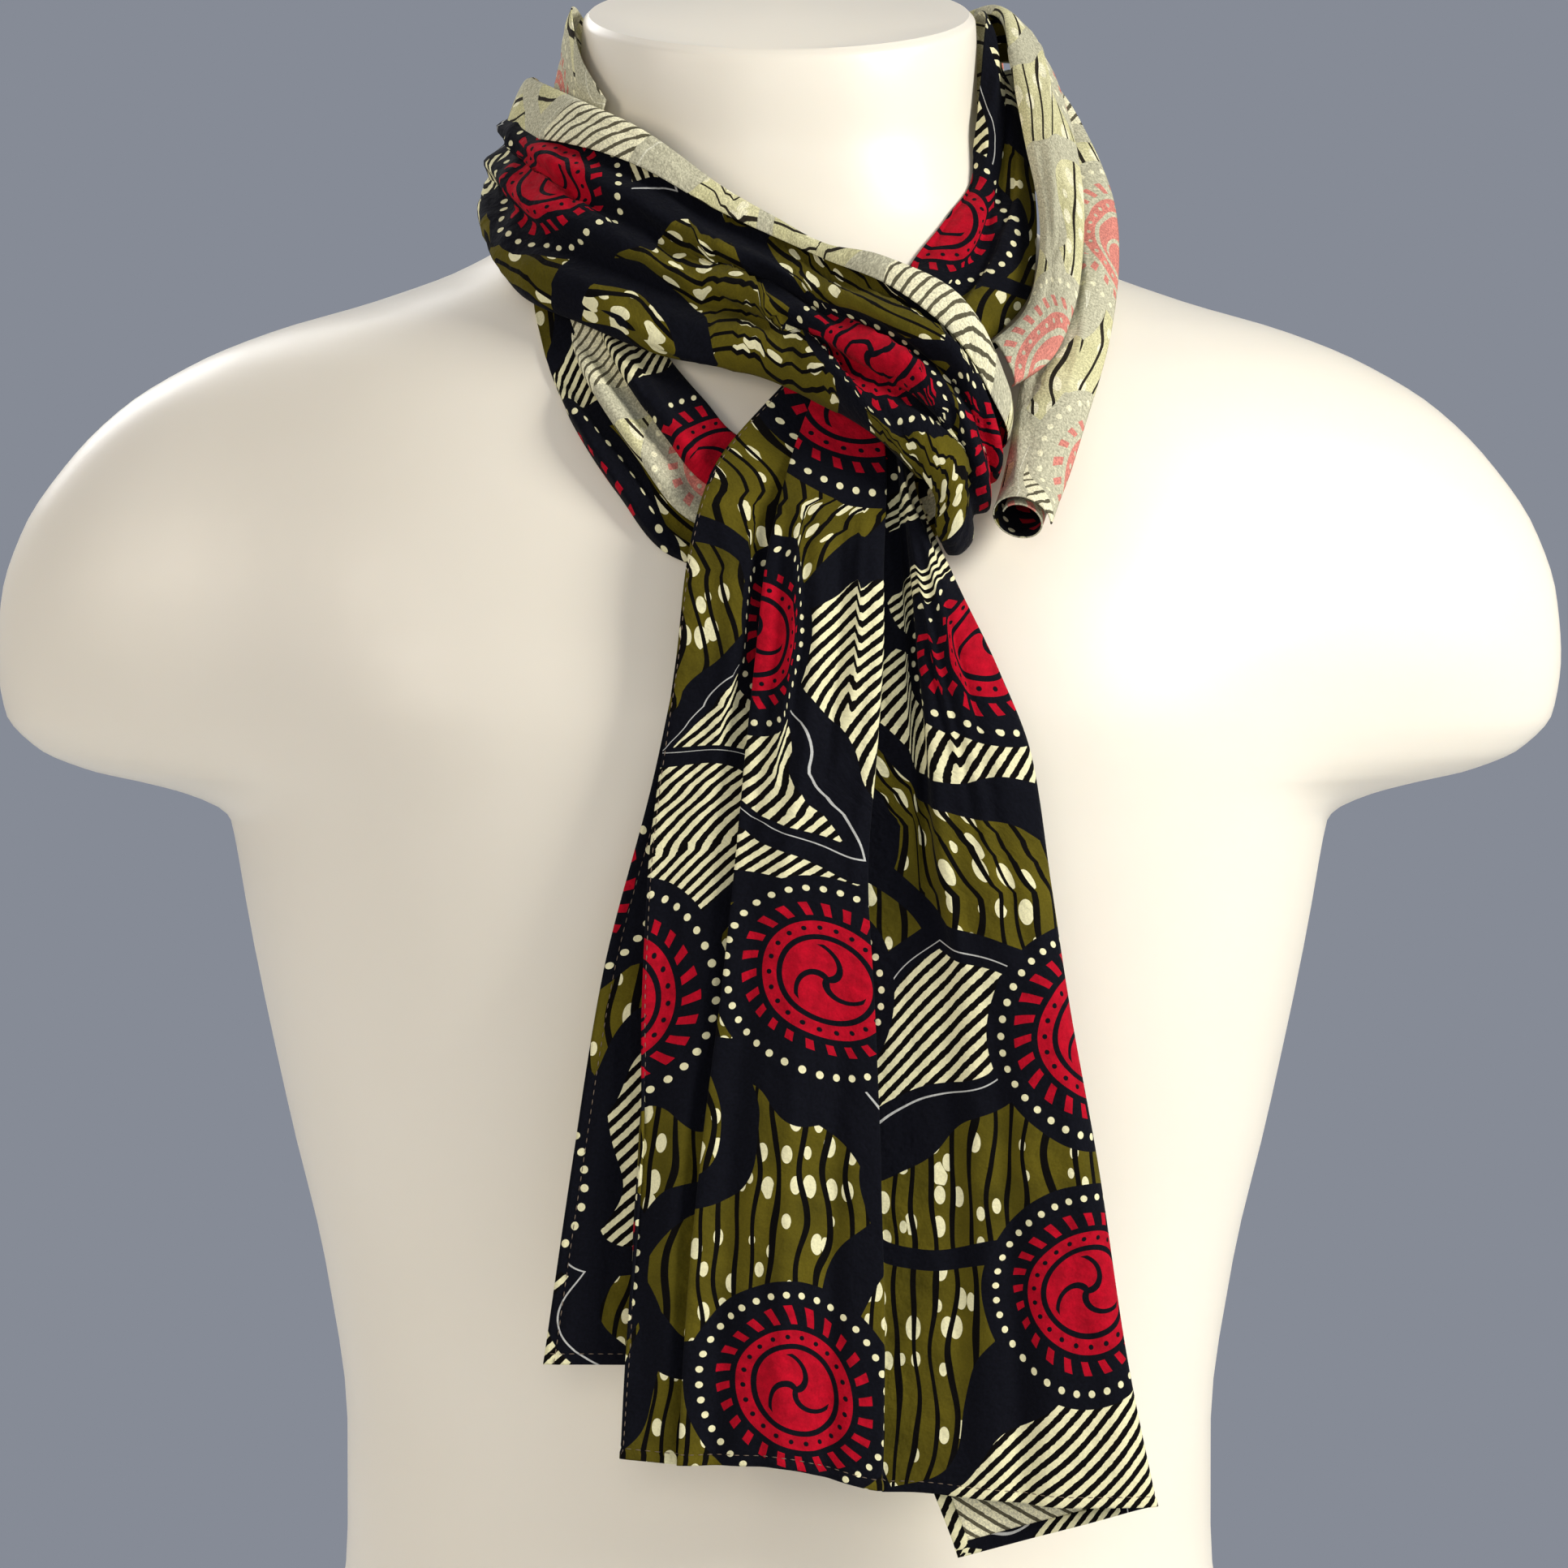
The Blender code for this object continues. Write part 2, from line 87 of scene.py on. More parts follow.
# The form, ring by ring from the base to the cap. A ring is the chest's oval blended with the arm stumps'.
# Columns: z, half width, front, back, squareness, stump's half width, stump's half depth
FORM_RINGS = (
    (0, 150, 88, 88, 2.3, 100, 40),
    (6, 156, 93, 93, 2.3, 100, 40),
    (60, 157, 96, 98, 2.3, 100, 40),
    (120, 148, 96, 91, 2.3, 100, 40),
    (170, 141, 97, 84, 2.3, 100, 40),
    (204, 141, 97, 82, 2.3, 100, 40),
    (256, 148, 101, 85, 2.3, 100, 40),
    (308, 160, 109, 91, 2.3, 110, 45),
    (373, 173, 119, 99, 2.3, 125, 50),
    (402, 177, 122.4, 102, 2.3, 140, 54),
    (411, 178, 123.1, 102.9, 2.3, 180, 60),
    (415, 178.4, 123.4, 103.3, 2.3, 202, 63),
    (419, 178.9, 123.6, 103.6, 2.3, 223, 66),
    (426, 180, 123.8, 104.2, 2.3, 241, 69),
    (438, 182, 123.3, 105.2, 2.3, 252, 72),
    (456, 184, 120, 106.4, 2.3, 254.6, 74),
    (476, 186, 114, 107, 2.25, 252.8, 73),
    (498, 187, 106, 106, 2.2, 245, 69),
    (520, 184, 97, 103, 2.15, 229, 63),
    (538, 178, 89, 99, 2.1, 209, 57),
    (552, 168, 82, 94, 2.05, 183, 51),
    (563, 150, 76, 88, 2, 153, 46),
    (573, 126, 71, 81, 2, 110, 40),
    (582, 104, 66.5, 76, 2, 80, 35),
    (592, 87, 62, 70, 2, 60, 30),
    (603, 76, 58.5, 63, 2, 50, 28),
    (616, 68.5, 56.5, 58, 2, 45, 27),
    (632, 64.5, 55, 54.5, 2, 42, 26),
    (654, 64.5, 55.5, 54.5, 2, 42, 26),
    (663.5, 64, 55, 54, 2, 42, 26),
    (666, 62, 53, 52, 2, 40, 25),
)
# How tightly the chest's oval and the stumps' oval meet
STUMP_BLEND = 9.0

# Each strand's sections from its start to its end: its upper edge, its lower edge and its folds.
# lift is how far the middle stands out, hem is how far the upper edge is turned out over the strand.
# Columns: top_x, top_y, top_z, low_x, low_y, low_z, lift, hem
COLLAR_BACK = (
    (-71, 9, 643, -88, 10, 606, 2, 3),
    (-68, 24, 654, -87, 32, 601, 4, 7),
    (-54, 46, 658, -74, 66, 596, 5, 11),
    (-30, 61, 657, -44, 88, 590, 6, 14),
    (0, 68, 656, 0, 98, 586, 6, 14),
    (32, 68, 657, 44, 94, 590, 6, 12),
    (54, 57, 661, 76, 76, 598, 5, 9),
    (68, 40, 664, 96, 50, 606, 4, 7),
)

COLLAR_LEFT_INNER = (
    (-58, 32, 653, -60, 34, 630, 1, 0),
    (-66.5, 12, 668, -68, 12, 645, 1, 0),
    (-67.5, -6, 664, -73, -8, 634, 1.5, 0),
    (-64, -23, 651, -67, -28, 622, 1.5, 0),
    (-56, -37, 638, -58, -41, 616, 1, 0),
)

LOOP_UPPER = (
    (-76, 18, 637, -95, 18, 599, 4, 8),
    (-80, 2, 644, -96, 4, 597, 5, 18),
    (-77, -12, 642, -95.5, -18, 594, 6, 19),
    (-60, -39, 634, -85, -57, 576, 6.5, 14),
    (-42, -54, 625, -63, -77, 566, 6, 11),
    (-20, -65, 609, -36, -91, 556, 6, 8),
    (-1, -75, 598, -8, -102, 552, 6, 6.5),
    (15, -86, 590, 16, -113, 541, 6, 5),
    (34, -98, 586, 35, -125, 529, 7, 9),
    (57, -104, 574, 49, -131, 514, 7, 15),
    (70, -108, 547, 51, -132, 502, 6, 10),
    (70.5, -104.5, 534, 55, -124, 493, 4, 4),
    (67, -99, 528, 57.5, -113, 497, 2.5, 2),
)

LOOP_LOWER = (
    (-66, -36, 600, -80, -34, 590, 1, 0),
    (-57, -48, 590, -79, -49, 576, 1.8, 0),
    (-45, -62, 571, -73, -66, 551, 2.6, 0),
    (-36, -80, 556, -65, -88, 533, 2.8, 0),
    (-24, -90, 542, -51, -99, 512, 2.8, 0),
    (-12, -96, 530, -33, -108, 492, 1.6, 0),
    (12, -99, 524, 4, -110, 484, 0.7, 0),
    (36, -99, 524, 36, -109, 486, 0.6, 0),
    (53, -97, 524, 51, -107, 500, 0.5, 0),
)

COLLAR_RIGHT_INNER = (
    (36, 46, 653, 40, 50, 632, 1, 0),
    (58, 30, 661, 62.5, 33, 641, 1, 0),
    (67, 8, 667, 73, 8, 636, 1.5, 0),
    (66.5, -8, 654, 80, -10, 624, 2, 0),
    (62, -24, 615, 83, -30, 606, 2.5, 0),
    (54, -42, 600, 83, -46, 590, 3, 0),
    (44, -56, 587, 80, -64, 574, 3, 0),
    (34, -76, 572, 66, -84, 560, 2, 0),
    (28, -86, 560, 48, -94, 553, 1.5, 0),
)

COLLAR_RIGHT_ROLL = (
    (42, 52, 655, 48, 56, 641, 3, 0),
    (63, 34, 667, 72, 38, 650, 3.5, 0),
    (72.5, 12, 667, 86, 10, 646, 4, 0),
    (75, -9, 651, 94, -16, 628, 4.5, 0),
    (80, -27, 624, 98, -38, 608, 5, 0),
    (84, -43, 604, 98, -53, 592, 5, 0),
    (84, -58, 587, 95.5, -71, 573.5, 5, 0),
    (79, -77, 570, 88, -91, 556, 4.5, 0),
    (68, -91, 560, 75, -103, 547, 3.5, 0),
)

# The outermost strand is a rolled tube: its middle line and its two half sizes
# Columns: x, y, z, half width, half depth
COLLAR_RIGHT_OUTER = (
    (46, 66, 626, 15, 6.5),
    (69.5, 45, 631, 14, 7),
    (80, 18, 634, 14, 8),
    (90, -6, 620, 13, 8.5),
    (98, -26, 602, 11.5, 9),
    (99, -44, 583, 11, 9),
    (95, -66, 562, 11.5, 9),
    (88, -88, 541, 12, 9),
    (83, -105, 523, 11, 9),
    (79, -114, 511, 10.2, 9),
    (76.5, -124, 505, 10.2, 9),
)
# How often the roll goes round, and how many turns would fill it
TUBE_TURNS = 1.45
TUBE_LAYERS = 3.0

# The front tail: where each fold line stands across, from the knot (0) to the hem (1)
# Columns: along, left, pleat left, pleat right, valley, crest, right, back edge
TAIL_LINES = (
    (0, 6, 14, 32, 33, 36, 39, 30),
    (0.10, -22, 2, 35, 38, 40, 43, 30),
    (0.18, -29, -4, 33, 39, 51, 55, 36),
    (0.26, -32, -7, 32, 40, 57, 69, 40),
    (0.34, -36, -10, 31, 40, 64, 80, 44),
    (0.45, -41, -14, 29, 41, 70, 86, 46),
    (0.56, -43, -18, 31, 41, 76, 92, 44),
    (0.70, -45, -24, 33, 41, 83, 101, 40),
    (0.85, -48, -29, 34, 40, 90, 109, 40),
    (1, -50, -32, 33, 40, 94, 120, 57),
)
# Columns of points across the front tail, from each guide of its section to the next
TAIL_COLUMNS = (3, 8, 8, 5, 4, 4, 18, 26, 4, 4, 5, 6, 18, 18, 16, 4, 4, 8, 8, 8)

# Columns: along, y of the cloth's plane, height of the folds, tuck of the centre pleat
TAIL_DEPTHS = (
    (0, -96, 0.45, 3),
    (0.06, -107, 0.5, 5),
    (0.10, -115, 0.6, 8),
    (0.18, -124, 0.8, 10),
    (0.26, -130, 1, 11),
    (0.34, -134, 1, 11),
    (0.45, -136, 1, 10),
    (0.56, -136, 1, 8),
    (0.70, -136, 0.9, 4),
    (0.85, -135, 0.8, 1.5),
    (1, -134, 0.8, 0.5),
)
TAIL_TOP_Z = 552.0
TAIL_HEM_Z = {"left": 206.6, "pleat_left": 205, "pleat_right": 197, "valley": 196,
              "crest": 191.5, "right": 191.5, "back_edge": 174.6}

# Columns: along, then x of the left side, three waves and the right side
TAIL_BACK_LINES = (
    (0, 8, 12, 17, 22, 28),
    (0.12, -20, -9, 6, 18, 30),
    (0.25, -30, -16, 2, 18, 32),
    (0.40, -40, -24, -2, 18, 33),
    (0.60, -56, -34, -8, 14, 31),
    (0.80, -66, -42, -14, 10, 28),
    (1, -75, -48, -18, 6, 26),
)
TAIL_BACK_TOP_Z = 546.0
TAIL_BACK_HEM_Z = 236.0
TAIL_BACK_BEHIND = 6.5

# Creases listed for each stretch, as a ridge (height above 0) or a valley (below 0).
# Columns: from along, from across, to along, to across, half width, height
CREASES = {
    "collar_back": (
        (0.05, 0.5, 0.55, 0.78, 3, 1.3),
        (0.3, 0.42, 0.95, 0.6, 2.6, -1),
        (0.5, 0.85, 1, 0.62, 3.2, 1.2),
        (0.1, 0.9, 0.45, 0.7, 2.4, -0.9),
        (0.62, 0.48, 0.8, 0.95, 2.2, 0.9),
        (0.2, 0.1, 0.6, 0.22, 1.8, 0.6),
    ),
    "collar_left_inner": (
        (0.1, 0.3, 0.9, 0.55, 2, 0.7),
        (0.3, 0.85, 0.95, 0.6, 1.6, -0.5),
    ),
    "loop_upper": (
        (0.33, 0.45, 0.62, 0.84, 2.2, -1.5),
        (0.36, 0.38, 0.72, 0.72, 2.6, 1.5),
        (0.5, 0.36, 0.86, 0.6, 2.3, 1.8),
        (0.47, 0.4, 0.8, 0.68, 1.8, -1.6),
        (0.6, 0.86, 0.92, 0.74, 2, 1.2),
        (0.66, 0.4, 0.95, 0.5, 2, 1.4),
        (0.1, 0.42, 0.16, 0.86, 3, -1.3),
        (0.16, 0.36, 0.24, 0.8, 2.6, 1.3),
        (0.24, 0.4, 0.31, 0.66, 2.4, -1),
        (0.02, 0.6, 0.2, 0.72, 2.6, 1.4),
        (0.28, 0.74, 0.46, 0.9, 2, 1.1),
        (0.2, 0.05, 0.5, 0.16, 1.6, 0.7),
        (0.6, 0.04, 0.78, 0.18, 2, 0.8),
    ),
    "loop_lower": (
        (0.2, 0.14, 0.75, 0.22, 1.8, 0.7),
        (0.25, 0.52, 0.7, 0.5, 1.6, 0.7),
        (0.22, 0.84, 0.66, 0.8, 1.8, 0.6),
        (0.34, 0.05, 0.48, 0.3, 1.6, -0.6),
    ),
    "collar_right_inner": (
        (0.32, 0.25, 0.85, 0.45, 2, 0.9),
        (0.34, 0.7, 0.95, 0.6, 1.8, -0.7),
        (0.5, 0.2, 0.75, 0.85, 1.8, 0.7),
    ),
    "collar_right_roll": (
        (0.2, 0.45, 0.6, 0.6, 1.8, 0.7),
        (0.45, 0.35, 0.9, 0.48, 1.8, -0.7),
        (0.62, 0.7, 0.8, 0.4, 1.8, 0.6),
    ),
    "collar_right_outer": (
        (0.3, 0.8, 0.55, 0.92, 2.4, 0.8),
        (0.5, 0.86, 0.8, 0.74, 2.4, -0.9),
        (0.62, 0.7, 0.94, 0.82, 2.2, 0.9),
        (0.1, 0.72, 0.4, 0.84, 2.4, -0.7),
    ),
    "tail_front": (
        (0.11, 0.045, 0.4, 0.06, 3, 2),
        (0.11, 0.085, 0.34, 0.095, 2.4, -1.8),
        (0.11, 0.205, 0.42, 0.215, 2.6, -2.4),
        (0.11, 0.275, 0.46, 0.27, 2.8, 2.2),
        (0.12, 0.32, 0.36, 0.325, 2.2, -2),
        (0.13, 0.385, 0.44, 0.375, 2.4, 1.6),
        (0.12, 0.59, 0.48, 0.585, 3, -2.2),
        (0.12, 0.64, 0.52, 0.645, 3.2, 2.6),
        (0.13, 0.705, 0.4, 0.69, 2.4, -2.2),
        (0.15, 0.775, 0.5, 0.775, 3, -1.8),
        (0.36, 0.04, 0.96, 0.05, 4.6, -2.2),
        (0.42, 0.085, 0.98, 0.09, 3.8, 2),
        (0.4, 0.23, 1, 0.235, 5.2, -3.4),
        (0.46, 0.3, 1, 0.3, 4.6, 2.6),
        (0.52, 0.36, 1, 0.35, 4.2, -2.8),
        (0.44, 0.59, 0.98, 0.6, 5, -2.6),
        (0.5, 0.68, 1, 0.67, 5.2, -3.6),
        (0.4, 0.78, 0.98, 0.785, 4.8, 2.4),
        (0.74, 0.2, 0.98, 0.34, 3.6, 1),
        (0.62, 0.74, 0.8, 0.61, 3, 0.9),
        (0.3, 0.4, 0.4, 0.23, 2.4, 0.9),
    ),
    "tail_back": (
        (0.2, 0.2, 0.95, 0.16, 3.2, -1),
        (0.35, 0.4, 1, 0.36, 3.2, 1),
        (0.5, 0.08, 1, 0.06, 2.4, 0.9),
    ),
}

# Folds that lie over the cloth beside them: a sharp drop on one side, a long slope on the other.
# Columns: from along, from across, to along, to across, sharp side, long side, height,
# and which way the long slope runs: 1 towards the lower edge, -1 towards the upper one
FOLD_EDGES = {
    "collar_back": (
        (0.1, 0.52, 0.7, 0.7, 0.8, 7, 2.2, -1),
        (0.35, 0.8, 1, 0.66, 0.8, 8, 2, 1),
    ),
    "loop_upper": (
        (0.4, 0.44, 0.73, 0.95, 0.8, 8, 4.6, -1),
        (0.54, 0.44, 0.88, 0.84, 0.8, 7, 4.2, -1),
        (0.64, 0.38, 0.98, 0.62, 0.8, 6, 2.8, -1),
        (0.04, 0.66, 0.24, 0.84, 0.8, 6, 2.8, 1),
        (0.12, 0.44, 0.4, 0.62, 0.9, 7, 2.4, -1),
        (0.26, 0.8, 0.6, 0.92, 0.8, 5, 1.8, 1),
    ),
    "loop_lower": (
        (0.3, 0.1, 0.75, 0.16, 0.7, 4, 1.2, 1),
        (0.26, 0.92, 0.7, 0.88, 0.7, 4, 1.2, -1),
    ),
    "collar_right_inner": (
        (0.34, 0.5, 0.9, 0.4, 0.7, 5, 1.6, 1),
        (0.45, 0.78, 0.95, 0.7, 0.7, 4, 1.3, -1),
    ),
    "collar_right_roll": ((0.15, 0.62, 0.85, 0.4, 0.7, 4, 1.2, 1),),
    "collar_right_outer": (
        (0.28, 0.76, 0.72, 0.9, 0.8, 5, 1.4, -1),
        (0.45, 0.72, 0.96, 0.8, 0.8, 5, 1.2, 1),
    ),
    "tail_front": (
        (0.11, 0.07, 0.32, 0.075, 0.8, 5, 2.2, 1),
        (0.11, 0.24, 0.36, 0.245, 0.8, 6, 2.8, 1),
        (0.12, 0.35, 0.3, 0.35, 0.8, 5, 2.2, -1),
        (0.11, 0.555, 0.44, 0.56, 0.9, 7, 3, 1),
        (0.12, 0.67, 0.34, 0.668, 0.8, 5, 2.4, -1),
        (0.13, 0.74, 0.3, 0.74, 0.8, 5, 2, 1),
    ),
}

# How a strand is folded, from its upper edge to its lower one. A turned-out edge goes before these.
# Columns: how far down, as a share of the width; how far out, as a share of the lift; mm further out
PLEATED = (
    (0.19, 0.2, 0),
    (0.34, 1.2, 0),
    (0.42, 0.35, 0),
    (0.58, 1.3, 0),
    (0.66, 0.3, 0),
    (0.84, 1.0, 0),
    (0.97, 0.35, 0),
    (0.99, 0, -1.4),
    (0.90, 0, -2.6),
)
# Three pleats, each lapping over the one below it
STEPPED = (
    (0, 0, 0),
    (0.20, 1.28, 0),
    (0.38, 3.04, 0),
    (0.42, 1.92, 0),
    (0.36, 0.32, 0),
    (0.50, 0.8, 0),
    (0.68, 3.04, 0),
    (0.72, 1.92, 0),
    (0.66, 0.32, 0),
    (0.80, 0.96, 0),
    (0.96, 1.6, 0),
    (1, 0, 0.2),
)
# One round wave, turned in at both edges
ROLLED = (
    (0.10, 0, -1.5),
    (0, 0, 0.5),
    (0.15, 0.8, 0),
    (0.45, 1, 0),
    (0.80, 0.9, 0),
    (1, 0.3, 0),
    (0.94, 0, -1.8),
)
WAVED = ((0, 0, 0), (0.2, 0.9, 0), (0.45, 0.3, 0), (0.7, 1.1, 0), (1, 0, 0))

# Strips of a stretch that show the cloth's other side, from across to across
OTHER_SIDE = {"loop_lower": (0.30, 0.71)}


def smooth(keys, rows, at):
    """The rows' values at the keys asked for, on a smooth curve that never overshoots a row."""
    keys = np.asarray(keys, float)
    rows = np.asarray(rows, float)
    at = np.clip(np.asarray(at, float), keys[0], keys[-1])
    step = np.diff(keys)[:, None]
    slope = np.diff(rows, axis=0) / step
    same_way = slope[1:] * slope[:-1] > 0
    both = np.where(same_way, slope[1:] + slope[:-1], 1.0)
    tangent = np.empty_like(rows)
    tangent[1:-1] = np.where(same_way, 2 * slope[1:] * slope[:-1] / both, 0.0)
    tangent[0] = slope[0]
    tangent[-1] = slope[-1]
    i = np.clip(np.searchsorted(keys, at, side="right") - 1, 0, len(keys) - 2)
    width = step[i]
    t = (at - keys[i])[:, None] / width
    return (
        rows[i] * (1 + 2 * t) * (1 - t) ** 2
        + tangent[i] * width * t * (1 - t) ** 2
        + rows[i + 1] * t * t * (3 - 2 * t)
        + tangent[i + 1] * width * t * t * (t - 1)
    )


def flowing(rows, at):
    """Catmull-Rom curve through evenly spaced rows, at shares from 0 to 1 of its length."""
    rows = np.asarray(rows, float)
    last = len(rows) - 1
    place = np.clip(np.asarray(at, float), 0, 1) * last
    i = np.minimum(place.astype(int), last - 1)
    t = (place - i)[:, None]
    before, start = rows[np.maximum(i - 1, 0)], rows[i]
    end, after = rows[i + 1], rows[np.minimum(i + 2, last)]
    return 0.5 * (
        2 * start
        + (end - before) * t
        + (2 * before - 5 * start + 4 * end - after) * t**2
        + (3 * start - before - 3 * end + after) * t**3
    )


def form_ring(z):
    """The form's sizes at these heights, in the columns of its table."""
    table = np.array(FORM_RINGS, float)
    return smooth(table[:, 0], table[:, 1:], z).T


def form_reach(points):
    """How far out each point lies as a share of the form's ring at its height: 1 is on the form."""
    width, front, back, square, stump_width, stump_depth = form_ring(points[:, 2])
    side, deep = np.abs(points[:, :2]).T
    chest = (side / width) ** square + (deep / np.where(points[:, 1] < 0, front, back)) ** square
    chest = (chest + 1e-9) ** (1 / square)
    stump = np.sqrt((side / stump_width) ** 2 + (deep / stump_depth) ** 2 + 1e-9)
    return (chest**-STUMP_BLEND + stump**-STUMP_BLEND) ** (-1 / STUMP_BLEND)


def off_the_form(points, gap):
    """Moves each point that lies nearer the form than the gap straight out to it."""
    points = points.copy()
    probe = 0.5
    for _ in range(4):
        reach = form_reach(points)
        uphill = np.stack(
            [form_reach(points + probe * axis) - reach for axis in np.eye(3)], axis=1
        ) / probe
        steep = np.linalg.norm(uphill, axis=1)
        short = np.maximum(gap - (reach - 1) / steep, 0)
        points += uphill / steep[:, None] * short[:, None]
    return points


def run_along(lines):
    """How far along its line each point lies, for one line or for each row of a grid."""
    steps = np.linalg.norm(np.diff(lines, axis=-2), axis=-1)
    return np.concatenate([np.zeros_like(steps[..., :1]), np.cumsum(steps, axis=-1)], axis=-1)


def section(guides, per_fold):
    """Points along a smooth line through the guides.

    per_fold is how many lie from each guide to the next: one number, or one for each of these spans.
    """
    guides = np.asarray(guides, float)
    run = run_along(guides)
    starts = np.r_[0, np.cumsum(np.broadcast_to(per_fold, len(guides) - 1))]
    steps = np.interp(np.arange(starts[-1] + 1), starts, np.arange(len(guides)))
    return smooth(run, guides, np.interp(steps, np.arange(len(guides)), run))


def strand(rows, folds, sections, per_fold=PER_FOLD):
    """A grid of points: each section runs from the strand's upper edge to its lower edge."""
    stations = flowing(rows, np.linspace(0, 1, sections))
    top, low = stations[:, :3], stations[:, 3:6]
    middle = (top + low) / 2
    onward = np.gradient(middle, axis=0)
    grid = []
    for i, (lift, hem) in enumerate(stations[:, 6:8]):
        chord = low[i] - top[i]
        width = np.linalg.norm(chord)
        down = chord / width
        out = np.cross(onward[i], down)
        out /= np.linalg.norm(out)
        if out @ (middle[i] * (1, 1, 0)) < 0:
            out = -out
        edge = turned_out(hem) if hem else ()
        guides = [(width * down_share, lift * lift_share + off) for down_share, lift_share, off in folds]
        place = section((*edge, *guides), per_fold)
        grid.append(top[i] + place[:, :1] * down + place[:, 1:] * out)
    return np.array(grid)


def turned_out(hem):
    """Guides of an upper edge that is turned out and down over its strand."""
    hem = max(hem, 2.0)
    stand = 3.0 + 2.4 * min(hem / 10, 1)
    return (hem, stand * 0.9), (hem * 0.5, stand), (1.0, stand * 0.85), (-1.2, stand * 0.5), (0.8, 0.2)


def rolled_tube(rows, sections, points):
    """A spiral roll round its middle line, its free edge inside and open at both ends."""
    stations = flowing(rows, np.linspace(0, 1, sections))
    centre = stations[:, :3]
    onward = np.gradient(centre, axis=0)
    onward /= np.linalg.norm(onward, axis=1)[:, None]
    turn = np.linspace(0, TUBE_TURNS * 2 * np.pi, points)
    inward = np.linspace(TUBE_TURNS, 0, points) / TUBE_LAYERS
    grid = []
    for i, (wide, deep) in enumerate(stations[:, 3:5]):
        sideways = np.cross(onward[i], (0, -1, 0))
        sideways /= np.linalg.norm(sideways)
        out = np.cross(sideways, onward[i])
        grid.append(
            centre[i]
            + np.outer((wide - deep * inward) * np.cos(turn), sideways)
            + np.outer(deep * (1 - inward) * np.sin(turn), out)
        )
    return np.array(grid)


def tail(lines, top, hems, depths, folds, per_fold):
    """A hanging end: fold lines run down it, and folds gives a section's guides at each height."""
    x = smooth(lines[:, 0], lines[:, 1:], TAIL_SHARES)
    plane, height, tuck = smooth(depths[:, 0], depths[:, 1:], TAIL_SHARES).T
    grid = []
    for i, down in enumerate(TAIL_SHARES):
        z = top + (hems - top) * down
        guides = folds(x[i], z, height[i], tuck[i])
        place = section(guides, per_fold)
        grid.append(np.stack([place[:, 0], plane[i] - place[:, 2], place[:, 1]], axis=1))
    return np.array(grid)


def front_tail_folds(x, z, height, tuck):
    """Guides (x, z, out): left panel, centre pleat, deep valley, right crest and the folded-back side."""
    left, pleat_left, pleat_right, valley, crest, right, back_edge = x
    z_left, z_pleat, z_right_pleat, z_valley, z_crest, z_right, z_back = z
    half_left = (left + pleat_left) / 2
    return (
        (left + 1.5, z_left, -1.0),
        (left, z_left, 1.0),
        (half_left, (z_left + z_pleat) / 2, 3.5 * height),
        (pleat_left + 0.2 * tuck, z_pleat, 3.0 * height),
        (pleat_left + tuck, z_pleat, 3.6 * height),
        (pleat_left + 0.5 * tuck, z_pleat, 6.2 * height),
        (pleat_left, z_pleat, 8.4 * height),
        (pleat_left * 0.6 + pleat_right * 0.4, z_pleat, 11.0 * height),
        (pleat_right - 1.0, z_right_pleat, 9.0 * height),
        (pleat_right - 0.4 * tuck, z_right_pleat, 5.6 * height),
        (pleat_right - 0.8 * tuck, z_right_pleat, 2.6 * height),
        (pleat_right, z_valley, 0.4 * height),
        (valley, z_valley, 0.6 * height),
        ((valley + crest) / 2, (z_valley + z_crest) / 2, 7.0 * height),
        (crest, z_crest, 10.0 * height),
        (right - 2.0, z_right, 6.0 * height),
        (right, z_right, 3.0 * height),
        (right - 2.5, z_right - 0.5, 0.2 * height),
        ((right * 2 + back_edge) / 3, (z_right * 2 + z_back) / 3, -1.0),
        ((right + back_edge * 2) / 3, (z_right + z_back * 2) / 3, -2.6),
        (back_edge, z_back, -2.4),
    )


def back_tail_folds(x, z, height, tuck):
    """Guides (x, z, out): a plain end with two shallow waves."""
    return tuple(
        (across, down, wave * height) for across, down, wave in zip(x, z, (0.0, 1.8, -0.6, 1.4, 0.0))
    )


def round_the_neck():
    """Points on the form from its shoulders to its cap."""
    turn, z = np.meshgrid(np.linspace(0, 2 * np.pi, 160), np.linspace(*NECK_HEIGHTS, 70))
    start = 60  # any radius does, because the rings are then scaled to the form
    ring = np.stack([start * np.cos(turn), start * np.sin(turn), z], axis=2).reshape(-1, 3)
    ring[:, :2] /= form_reach(ring)[:, None]
    return ring


